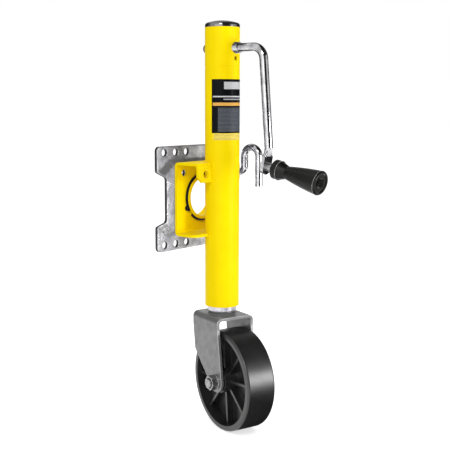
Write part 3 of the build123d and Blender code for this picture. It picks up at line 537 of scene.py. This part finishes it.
# Fork zinc; its edges carry a painted highlight.
ZINC_SHEET = Finish(
    "zinc_sheet", (0.215, 0.215, 0.215), (0.17, 0.17, 0.175), sheen=(0.3, 0.44), cloud=0.012,
    wave=0.00012, grain=0.0011, grain_depth=0.00002, edge=0.0013, metallic=0.35,
    edge_highlight=(0.85, 0.85, 0.86))
# Nut zinc; its edges carry a painted highlight.
ZINC_NUT = Finish(
    "zinc_nut", (0.38, 0.38, 0.385), (0.20, 0.20, 0.205), sheen=(0.2, 0.3), cloud=0.006,
    grain=0.0008, grain_depth=0.00002, edge=0.0008, metallic=0.8, edge_highlight=(0.9, 0.9, 0.91))
ZINC_SPINDLE = SpindleFinish(
    "zinc_spindle", (0.38, 0.38, 0.385), (0.26, 0.26, 0.265), sheen=(0.2, 0.3), cloud=0.006,
    grain=0.0008, grain_depth=0.00002, edge=0.0006, metallic=0.8)
ZINC_TUBE = Finish(
    "zinc_tube", (0.56, 0.55, 0.60), (0.44, 0.43, 0.48), sheen=(0.2, 0.34), cloud=0.01,
    wave=0.0004, grain=0.0011, grain_depth=0.00002, edge=0.0012, metallic=1.0)
ZINC_ROD = BrushedFinish(
    "zinc_rod", (0.64, 0.64, 0.65), (0.36, 0.36, 0.37), sheen=(0.04, 0.11), cloud=0.01,
    wave=0.0001, edge=0.0006, metallic=1.0)
PLAIN_STEEL = BrushedFinish(
    "plain_steel", (0.60, 0.60, 0.61), (0.44, 0.44, 0.45), sheen=(0.25, 0.4), cloud=0.01,
    edge=0.0003, metallic=1.0)
GEAR_STEEL = Finish(
    "gear_steel", (0.40, 0.39, 0.37), (0.26, 0.25, 0.23), sheen=(0.3, 0.5), cloud=0.006,
    grain=0.0005, grain_depth=0.00003, edge=0.0002, metallic=1.0)
BEARING_STEEL = Finish(
    "bearing_steel", (0.72, 0.72, 0.73), (0.62, 0.62, 0.63), sheen=(0.08, 0.16), cloud=0.008,
    edge=0.0002, metallic=1.0)
SPRING_STEEL = Finish(
    "spring_steel", (0.50, 0.50, 0.50), (0.36, 0.36, 0.36), sheen=(0.2, 0.35), cloud=0.006,
    grain=0.0006, grain_depth=0.00001, edge=0.0002, metallic=1.0)
BRONZE = Finish(
    "bronze", (0.62, 0.42, 0.20), (0.48, 0.31, 0.14), sheen=(0.3, 0.5), cloud=0.006,
    grain=0.0004, grain_depth=0.00002, edge=0.0003, metallic=1.0)
BLACK_RING = Finish(
    "spring_steel_black", (0.004, 0.004, 0.004), (0.010, 0.010, 0.009), sheen=(0.35, 0.5), cloud=0.01,
    grain=0.0006, grain_depth=0.00002, edge=0.0003, specular=0.2)
BLACK_CAP = Finish(
    "black_plastic", (0.003, 0.003, 0.004), (0.006, 0.006, 0.007), sheen=(0.10, 0.16), cloud=0.02,
    grain=0.0008, grain_depth=0.00001, edge=0.0012, refraction=2.7)
GRIP_RUBBER = Finish(
    "black_rubber", (0.003, 0.0031, 0.0026), (0.006, 0.006, 0.005), sheen=(0.3, 0.38), cloud=0.02,
    grain=0.0007, grain_depth=0.00002, edge=0.0008, specular=0.22)
# Pale grey on the grip's fine ridges, as painted highlight lines.
RIDGE_HIGHLIGHT = Finish(
    "grip_ridge_highlight", (0.34, 0.34, 0.33), (0.22, 0.22, 0.21), sheen=(0.2, 0.3), cloud=0.012,
    grain=0.0005, grain_depth=0.00001, edge=0.0003, metallic=0.6)
WHEEL_BLACK = Finish(
    "black_wheel", (0.008, 0.008, 0.008), (0.012, 0.012, 0.012), sheen=(0.32, 0.37), cloud=0.03,
    grain=0.0012, grain_depth=0.00002, edge=0.0009, specular=0.8)
LABEL = LabelPrint(
    "printed_label", (0.97, 0.74, 0.03), (0.004, 0.0045, 0.006), sheen=(0.3, 0.38), cloud=0.03,
    edge=0.0002, specular=0.05)


# ---------------------------------------------------------------- sub-assemblies
@dataclass
class SubAssembly:
    """What every sub-assembly shares: how its nodes and its added pieces are finished."""

    def nodes(self) -> dict[Finish, tuple[str, ...]]:
        """The CAD nodes of this sub-assembly, by finish."""
        return {}

    def build(self) -> None:
        """Build the pieces that the CAD nodes don't have; most sub-assemblies need none."""

    def dress(self) -> None:
        """Give every CAD node of this sub-assembly its finish; paint and rubber cast no reflection."""
        for finish, names in self.nodes().items():
            for name in names:
                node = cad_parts[name]
                node.data.materials.clear()
                node.data.materials.append(finish.material())
                node.visible_glossy = finish not in (YELLOW, GRIP_RUBBER)
                LOG.info("%s wears %s", name, finish.name)

    def ring(self, name: str, finish: Finish, radius: float, wire: float, place: Vector | Point,
             turn: Point, points: int, sides: int = 8) -> bpy.types.Object:
        """Make a fine round ridge.

        Args:
            name: Name of the ridge.
            finish: What it is made of.
            radius: Radius of the ring that it follows.
            wire: Radius of the ridge itself.
            place: The middle of the ring.
            turn: Euler angles in radians that turn Z to the ring's axis.
            points: Points round the ring.
            sides: Sides of the ridge.

        Returns:
            The finished piece.
        """
        tree = ShapeTree(name, {"Ring radius": radius, "Ridge radius": wire})
        line = tree.circle(tree.given["Ring radius"], points)
        ridge = tree.placed(tree.swept(line, tree.given["Ridge radius"], sides), tuple(place), tuple(turn))
        return tree.grow(ridge, finish)

    def ride(self, piece: bpy.types.Object, body: Body, slot: Slot) -> None:
        """Set an added piece to move with its body.

        Args:
            piece: The piece, in place.
            body: The body that carries it.
            slot: The record's material slot that its finish matches; a painted piece is kept out of
                reflections.
        """
        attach(piece, body.value)
        piece.visible_glossy = slot is not Slot.PAINT
        LOG.info("%s rides on %s", piece.name, body.value)


@dataclass
class SwivelPlate(SubAssembly):
    """The bolt-on plate with the swivel collar that the jack turns on."""

    def nodes(self) -> dict[Finish, tuple[str, ...]]:
        """Zinc-plated pressing, painted collar, black retaining ring."""
        return {PLATE_ZINC: ("mounting_plate",), ZINC_SHEET: ("swivel_washer",),
                YELLOW: ("swivel_collar",), BLACK_RING: ("retaining_ring",)}


@dataclass
class JackTube(SubAssembly):
    """The painted outer tube with its bracket, welds, cap and label."""

    radius: float = 0.0254
    facet: float = 4.0  # degrees between points round the tube
    bracket_edge: float = 0.0543  # outer faces of the bracket's flanges, from the swivel's axis
    weld_angles: Span = (12.0, 168.0)
    bead: float = 0.0019  # radius of a weld bead
    bead_pitch: float = 0.0013
    bead_flat: float = 0.45  # length of a drop along the bead, as a share of its width
    bead_detail: int = 2  # how finely a drop is divided
    bead_lift: float = 1 / 3  # how far its middle stands off the tube, as a share of its radius
    label_lift: float = 0.00012
    label_film: float = 0.0001  # thickness of the sticker
    label_crease: float = 40.0  # edges sharper than this aren't shaded smooth
    label_angles: Span = (183.7, 356.3)

    def nodes(self) -> dict[Finish, tuple[str, ...]]:
        """Yellow paint on what is welded, black plastic on the cap."""
        return {YELLOW: ("outer_tube", "swivel_bracket"), BLACK_CAP: ("top_cap",),
                PLAIN_STEEL: ("anti_rotation_key", "bearing_plate"), BEARING_STEEL: ("bearing_race_upper",)}

    def weld(self, name: str, path: list[Point]) -> None:
        """Lay one painted weld bead: overlapping flattened drops along a path.

        Args:
            name: Name of the bead.
            path: The points that it follows.
        """
        tree = ShapeTree(name, {"Bead radius": self.bead, "Pitch": self.bead_pitch,
                                "Flatness": self.bead_flat})
        line = tree.node("GeometryNodeMeshToCurve", {"Mesh": tree.given["Geometry"]})
        even = tree.node("GeometryNodeResampleCurve", {"Curve": line.outputs[0],
                                                       "Length": tree.given["Pitch"]}, mode="LENGTH")
        drop = tree.node("GeometryNodeMeshIcoSphere", {"Radius": tree.given["Bead radius"],
                                                       "Subdivisions": self.bead_detail})
        along = tree.node("GeometryNodeInputTangent")
        turn = tree.node("FunctionNodeAlignRotationToVector", {"Vector": along.outputs[0]}, axis="Z")
        size = tree.node("ShaderNodeCombineXYZ", {"X": 1.0, "Y": 1.0, "Z": tree.given["Flatness"]})
        drops = tree.node("GeometryNodeInstanceOnPoints", {
            "Points": even.outputs[0], "Instance": drop.outputs[0],
            "Rotation": turn.outputs[0], "Scale": size.outputs[0]})
        mesh = bpy.data.meshes.new(name)
        mesh.from_pydata(path, [(i, i + 1) for i in range(len(path) - 1)], [])
        self.ride(tree.grow(drops.outputs[0], WELD_YELLOW, mesh), Body.JACK, Slot.PAINT)

    def around(self, height: float, angles: Span, lift: float) -> list[Point]:
        """Points round the tube at one height.

        Args:
            height: Their height.
            angles: World angles of the first and the last, in degrees.
            lift: How far they stand off the tube.

        Returns:
            The points, in order.
        """
        start, end = angles
        steps = round(abs(end - start) / self.facet)
        turns = [math.radians(start + (end - start) * i / steps) for i in range(steps + 1)]
        reach = self.radius + lift
        return [(TUBE_AXIS[0] + reach * math.cos(turn), TUBE_AXIS[1] + reach * math.sin(turn), height)
                for turn in turns]

    def label(self) -> None:
        """Wrap the printed sticker round the tube, just proud of the paint."""
        walls = [self.around(height, self.label_angles, lift)
                 for lift in (self.label_lift, self.label_lift - self.label_film)
                 for height in (LABEL_FOOT, LABEL_TOP)]
        count = len(walls[0])
        ring = (0, count, 3 * count, 2 * count)  # the film's section: up its face and down its back
        faces = [(here + i, here + i + 1, there + i + 1, there + i)
                 for here, there in zip(ring, ring[1:] + ring[:1]) for i in range(count - 1)]
        faces += [ring, tuple(row + count - 1 for row in reversed(ring))]
        mesh = bpy.data.meshes.new("label_sticker")
        mesh.from_pydata([point for wall in walls for point in wall], [], faces)
        mesh.shade_smooth()
        mesh.set_sharp_from_angle(angle=math.radians(self.label_crease))
        mesh.materials.append(LABEL.material())
        self.ride(new_object("label_sticker", mesh), Body.JACK, Slot.PAINT)

    def build(self) -> None:
        """Lay the welds and wrap the label."""
        for side, height in (("upper", self.bracket_edge), ("lower", -self.bracket_edge)):
            path = self.around(height, self.weld_angles, self.bead * self.bead_lift)
            self.weld(f"{side}_flange_weld", path)
        self.label()


@dataclass
class PullPin(SubAssembly):
    """The hooked pull pin with its washer, stop and spring."""

    axis: Span = (0.038, 0.038)  # X and Z of the pin
    spring_from: float = -0.0499  # at the ear
    spring_to: float = -0.0302  # at the washer
    wire: float = 0.0013
    coil_radius: float = 0.00675
    turns: float = 4.0
    points: int = 20  # points to a turn

    def nodes(self) -> dict[Finish, tuple[str, ...]]:
        """Bright plated bar and washer."""
        return {ZINC_ROD: ("pull_pin", "pull_pin_stop", "pull_pin_washer"),
                SPRING_STEEL: ("pull_pin_spring",)}

    def at(self, along: float) -> Point:
        """The point of the pin's axis at one place along Y."""
        return self.axis[0], along, self.axis[1]

    def build(self) -> None:
        """Wind the spring: open turns between two closed end turns."""
        room = self.spring_to - self.spring_from - self.wire
        tree = ShapeTree("pin_spring", {"Turns": self.turns, "Coil radius": self.coil_radius,
                                        "Wire radius": self.wire / 2, "Wire": self.wire,
                                        "Open height": room - 2 * self.wire})
        height, wire = tree.given["Open height"], tree.given["Wire"]
        coils = tree.node("GeometryNodeJoinGeometry")
        top = tree.maths("ADD", wire, height)
        for rise, turns, start in ((wire, 1.0, 0.0), (height, tree.given["Turns"], wire), (wire, 1.0, top)):
            coil = tree.helix(tree.given["Coil radius"], rise, turns, self.points)
            lift = tree.node("ShaderNodeCombineXYZ", {"Z": start}).outputs[0]
            wound = tree.swept(tree.placed(coil, lift), tree.given["Wire radius"])
            tree.tree.links.new(wound, coils.inputs[0])
        spring = tree.grow(tree.placed(coils.outputs[0], self.at(self.spring_from + self.wire / 2),
                                       (-math.pi / 2, 0.0, 0.0)), SPRING_STEEL)
        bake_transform(spring)
        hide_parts("pull_pin_spring")
        LOG.info("pin_spring stretches from %s to %s", Body.JACK.value, Body.PIN.value)


@dataclass
class Crank(SubAssembly):
    """The crank arm, its shaft's bushes and pinion, and the turning grip."""

    eye: Point = (0.0, -0.139449, 0.052012)  # where the grip's axis meets the arm
    droop: float = 11.5  # degrees that the grip points below level
    # each ridge: how far along the axis, radius of the ring, radius of the ridge
    ridges: tuple[Point, ...] = ((0.0265, 0.01375, 0.0004), (0.0936, 0.01705, 0.0004))
    points: int = 72  # points round a ridge

    def nodes(self) -> dict[Finish, tuple[str, ...]]:
        """Bright bar, black grip, greased gear."""
        return {ZINC_ROD: ("crank_arm", "crank_bush_front"), BRONZE: ("crank_bush_rear",),
                BLACK_RING: ("crank_end_cap",), ZINC_SPINDLE: ("grip_spindle",),
                GRIP_RUBBER: ("crank_grip",), GEAR_STEEL: ("bevel_pinion",),
                PLAIN_STEEL: ("pinion_roll_pin",)}

    def build(self) -> None:
        """Mould the fine ridges that edge the grip's flange and its end, coloured pale as painted highlight
        lines.
        """
        tilt = math.radians(self.droop)
        ahead = Vector((0.0, -math.cos(tilt), -math.sin(tilt)))
        for number, (along, radius, ridge) in enumerate(self.ridges, 1):
            piece = self.ring(f"grip_ridge_{number}", RIDGE_HIGHLIGHT, radius, ridge,
                              Vector(self.eye) + ahead * along, (math.pi / 2 + tilt, 0.0, 0.0), self.points)
            self.ride(piece, Body.GRIP, Slot.RUBBER)


@dataclass
class LiftScrew(SubAssembly):
    """The lead screw with its bevel gear and thrust bearing."""

    def nodes(self) -> dict[Finish, tuple[str, ...]]:
        """Turned screw, greased gear, ground bearing, bronze cage."""
        return {PLAIN_STEEL: ("lead_screw", "gear_roll_pin"), GEAR_STEEL: ("bevel_gear",),
                BEARING_STEEL: ("bearing_race_lower", "bearing_balls"), BRONZE: ("bearing_cage",)}


@dataclass
class Ram(SubAssembly):
    """The inner tube with its nut, end plug and kingpin."""

    def nodes(self) -> dict[Finish, tuple[str, ...]]:
        """Bright tube, bronze nut, plain pins."""
        return {ZINC_TUBE: ("inner_tube",), BRONZE: ("lead_nut",),
                PLAIN_STEEL: ("ram_end_plug", "kingpin", "kingpin_washer", "kingpin_nut")}


@dataclass
class Caster(SubAssembly):
    """The fork that swivels under the ram, and its clamped axle."""

    bolt_end: Span = (0.0430, 0.0459)  # along the axle: the nut's face and the bolt's end
    thread_radius: float = 0.00590
    thread_ridge: float = 0.00045
    thread_pitch: float = 0.00125
    thread_points: int = 32  # points to a turn
    thread_sides: int = 6
    insert: Span = (0.0071, 0.0009)  # ring radius and roundness of the black ring for the nut's nylon insert, dark also as painted shade of the recess round the bolt
    insert_points: int = 48

    def nodes(self) -> dict[Finish, tuple[str, ...]]:
        """Plated fork and fasteners."""
        return {ZINC_SHEET: ("caster_fork", "caster_thrust_washer"),
                ZINC_NUT: ("axle_bolt", "axle_nut", "axle_washers"), PLAIN_STEEL: ("axle_sleeve",)}

    def build(self) -> None:
        """Cut the thread on the bolt's end beyond the nut, and set a black ring for the nut's nylon insert
        that also paints the shade of the recess round the bolt.
        """
        start, end = self.bolt_end
        middle, ahead = Vector(AXLE_MIDDLE), Vector(AXLE_AHEAD).normalized()
        turn = tuple(ahead.to_track_quat("Z", "Y").to_euler())
        tree = ShapeTree("axle_bolt_thread", {"Thread radius": self.thread_radius,
                                              "Pitch": self.thread_pitch, "Length": end - start,
                                              "Ridge radius": self.thread_ridge})
        length = tree.given["Length"]
        coil = tree.helix(tree.given["Thread radius"], length,
                          tree.maths("DIVIDE", length, tree.given["Pitch"]), self.thread_points)
        shape = tree.placed(tree.swept(coil, tree.given["Ridge radius"], self.thread_sides),
                            tuple(middle + ahead * start), turn)
        self.ride(tree.grow(shape, ZINC_NUT), Body.CASTER, Slot.ROD)
        radius, roundness = self.insert
        # black ring: the nylon insert, and painted shade in the recess round the bolt
        ring = self.ring("nut_insert_and_shade_ring", BLACK_RING, radius, roundness,
                         middle + ahead * (start - roundness / 2), turn, self.insert_points)
        self.ride(ring, Body.CASTER, Slot.PLASTIC)


@dataclass
class Wheel(SubAssembly):
    """The moulded wheel and its steel bush."""

    radius: float = 0.0748  # at the middle of the tread
    seam: float = 0.00025  # radius of the mould's parting ridge round the tread
    points: int = 160  # points round the tread
    sides: int = 6  # sides of the ridge

    def nodes(self) -> dict[Finish, tuple[str, ...]]:
        """Black moulding, plain bush."""
        return {WHEEL_BLACK: ("caster_wheel",), PLAIN_STEEL: ("wheel_bush",)}

    def build(self) -> None:
        """Leave the mould's fine parting ridge round the middle of the tread."""
        turn = tuple((-Vector(AXLE_AHEAD)).to_track_quat("Z", "Y").to_euler())
        seam = self.ring("wheel_mould_line", WHEEL_BLACK, self.radius, self.seam, AXLE_MIDDLE, turn,
                         self.points, self.sides)
        self.ride(seam, Body.WHEEL, Slot.WHEEL)


# ---------------------------------------------------------------- studio
FLOOR, FAR = -0.3415, 2.3  # height of the cards' lower edge, and how far off they stand
# folds of the cards, each a distance and a height
FOOT: Span = (FAR, FLOOR)
BROW: Span = (FAR, 1.2)
TOP: Span = (FAR, 2.0)
CANOPY: Span = (0.05, 2.1)


@dataclass(frozen=True)
class Lamp:
    """A soft rectangular lamp that faces the jack."""

    name: str
    place: Point
    size: Span  # width and height
    power: float  # in watts
    mirrored: bool = True  # whether glossy surfaces reflect it


@dataclass(frozen=True)
class Card:
    """A bent card round the jack that only glossy surfaces see."""

    name: str
    bearings: Span  # world angles of its two ends, in degrees
    folds: tuple[Span, ...]  # distance and height of each fold
    grey: float  # how light it is


@dataclass
class Studio:
    """Pale floor, soft lamps, reflector cards and the camera."""

    eye: Point = (-1.0046, -0.9118, 0.1459)
    back: Point = (-0.7568, -0.6386, 0.1395)  # from the jack toward the camera
    roll: float = 0.12
    lens: float = 71.57
    sensor: float = 36.0
    clip: Span = (0.05, 50.0)
    ambient: float = 0.62  # strength of the world's light on what isn't seen straight
    middle: Point = (0.0, -0.06, -0.04)
    floor_half: float = 12.0  # half the side of the floor
    floor_grey: float = 0.86
    floor_glow: float = 0.6
    card_steps: int = 12  # flat strips to a card
    lamps: tuple[Lamp, ...] = (
        Lamp("key_lamp", (0.45, -1.8, -0.05), (0.45, 0.7), 15.0),
        Lamp("fill_lamp", (-1.6, -0.9, 1.3), (0.5, 0.5), 15.0),
        Lamp("top_lamp", (0.3, 0.2, 1.8), (1.0, 1.0), 12.0, mirrored=False),
    )
    cards: tuple[Card, ...] = (
        Card("back_card", (58.0, 116.0), (FOOT, TOP), 0.04),
        Card("left_card", (116.0, 135.0), (FOOT, TOP), 0.35),
        Card("right_card", (-34.0, 20.0), (FOOT, TOP), 0.05),
        Card("side_card", (-88.0, -34.0), (FOOT, BROW), 0.9),
        Card("brow_card", (-88.0, -34.0), (BROW, TOP), 0.03),
        Card("front_card", (-140.0, -88.0), (FOOT, TOP), 0.03),
        Card("glow_card", (-190.0, -140.0), (FOOT, (FAR, 0.9)), 2.0),
        Card("floor_card", (-118.0, -20.0), ((0.04, FLOOR), (0.5, FLOOR)), 0.03),
        Card("far_floor_card", (-118.0, -20.0), ((0.95, FLOOR), (1.5, FLOOR)), 0.03),
        Card("canopy_card", (-150.0, 20.0), (TOP, CANOPY), 0.03),
        Card("sky_card", (5.0, 75.0), ((FAR, 1.0), TOP, CANOPY), 0.4),
    )

    def camera(self) -> None:
        """Stand the camera where it sees the jack from its left front, a little above level."""
        data = bpy.data.cameras.new("camera")
        data.lens = self.lens
        data.sensor_width = self.sensor
        data.clip_start, data.clip_end = self.clip
        camera = new_object("camera", data)
        back = Vector(self.back).normalized()
        right = Vector((0.0, 0.0, 1.0)).cross(back).normalized()
        up = back.cross(right)
        turn = Matrix((right, up, back)).transposed() @ Matrix.Rotation(math.radians(self.roll), 3, "Z")
        camera.matrix_world = Matrix.Translation(self.eye) @ turn.to_4x4()
        bpy.context.scene.camera = camera

    def seen_white(self, sheet: NodeSheet) -> Socket:
        """Find what sees the background straight or by reflection.

        Args:
            sheet: The tree that asks.

        Returns:
            The socket that gives 1 for camera, glossy and transmission rays, otherwise 0.
        """
        path = sheet.node("ShaderNodeLightPath").outputs
        share = path["Is Camera Ray"]
        for other in ("Is Glossy Ray", "Is Transmission Ray"):
            share = sheet.maths("MAXIMUM", share, path[other])
        return share

    def world(self) -> None:
        """White behind everything, and an even ambient light."""
        world = bpy.data.worlds.new("studio_world")
        bpy.context.scene.world = world
        world.use_nodes = True
        sheet = NodeSheet(world.node_tree)
        strength = sheet.ramp(self.seen_white(sheet), 0.0, 1.0, self.ambient, 1.0)
        light = sheet.node("ShaderNodeBackground", {"Color": (1.0, 1.0, 1.0, 1.0), "Strength": strength})
        sheet.node("ShaderNodeOutputWorld", {"Surface": light.outputs[0]})

    def glowing(self, sheet: NodeSheet, grey: float, strength: float) -> Socket:
        """A shader that gives off grey light."""
        return sheet.node("ShaderNodeEmission", {"Color": (grey, grey, grey, 1.0),
                                                 "Strength": strength}).outputs[0]

    def surface(self, mesh: bpy.types.Mesh, name: str) -> NodeSheet:
        """Give a mesh an empty material of its own.

        Args:
            mesh: The mesh that wears it.
            name: The material's name.

        Returns:
            The material's tree, to fill.
        """
        made = bpy.data.materials.new(name)
        made.use_nodes = True
        mesh.materials.append(made)
        return NodeSheet(made.node_tree)

    def floor(self) -> None:
        """Lay a plain pale floor under the wheel that keeps its shadow."""
        level, half = CAD_BOX[0][2], self.floor_half
        mesh = bpy.data.meshes.new("floor")
        corners = ((-half, -half), (half, -half), (half, half), (-half, half))
        mesh.from_pydata([(*corner, level) for corner in corners], [], [(0, 1, 2, 3)])
        sheet = self.surface(mesh, "studio_floor")
        grey = self.floor_grey
        matt = sheet.node("ShaderNodeBsdfDiffuse", {"Color": (grey, grey, grey, 1.0)}).outputs[0]
        lit = sheet.node("ShaderNodeAddShader", {0: matt, 1: self.glowing(sheet, 1.0, self.floor_glow)})
        plain = sheet.node("ShaderNodeMixShader", {0: self.seen_white(sheet), 1: matt, 2: lit.outputs[0]})
        sheet.node("ShaderNodeOutputMaterial", {"Surface": plain.outputs[0]})
        new_object("floor", mesh)

    def hang(self, lamp: Lamp) -> None:
        """Hang one lamp, turned to face the jack.

        Args:
            lamp: The lamp.
        """
        data = bpy.data.lights.new(lamp.name, "AREA")
        data.shape = "RECTANGLE"
        data.size, data.size_y = lamp.size
        data.energy = lamp.power
        hung = new_object(lamp.name, data)
        hung.location = lamp.place
        toward = Vector(self.middle) - Vector(lamp.place)
        hung.rotation_euler = toward.to_track_quat("-Z", "Y").to_euler()
        hung.visible_glossy = lamp.mirrored

    def stand(self, card: Card) -> None:
        """Stand one card round the jack, out of sight of all but glossy surfaces.

        Args:
            card: The card.
        """
        steps = self.card_steps
        start, end = card.bearings
        rim = [math.radians(start + (end - start) * i / steps) for i in range(steps + 1)]
        points = [(self.middle[0] + reach * math.cos(turn), self.middle[1] + reach * math.sin(turn), height)
                  for reach, height in card.folds for turn in rim]
        strips = [(row + i, row + i + 1, row + steps + i + 2, row + steps + i + 1)
                  for row in range(0, (steps + 1) * (len(card.folds) - 1), steps + 1) for i in range(steps)]
        mesh = bpy.data.meshes.new(card.name)
        mesh.from_pydata(points, [], strips)
        sheet = self.surface(mesh, card.name)
        sheet.node("ShaderNodeOutputMaterial", {"Surface": self.glowing(sheet, card.grey, 1.0)})
        stood = new_object(card.name, mesh)
        stood.visible_camera = stood.visible_diffuse = False
        stood.visible_shadow = stood.visible_transmission = False

    def build(self) -> None:
        """Set up the whole studio."""
        bpy.context.scene.view_settings.view_transform = "Standard"
        self.camera()
        self.world()
        self.floor()
        for lamp in self.lamps:
            self.hang(lamp)
        for card in self.cards:
            self.stand(card)
        LOG.info("studio is set")


def main() -> None:
    """Build and dress every sub-assembly, then the studio."""
    logging.basicConfig(level=logging.INFO, format="%(name)s: %(message)s")
    for part in (SwivelPlate(), JackTube(), PullPin(), Crank(), LiftScrew(), Ram(), Caster(), Wheel()):
        part.build()
        part.dress()
    Studio().build()


if __name__ == "__main__":
    main()
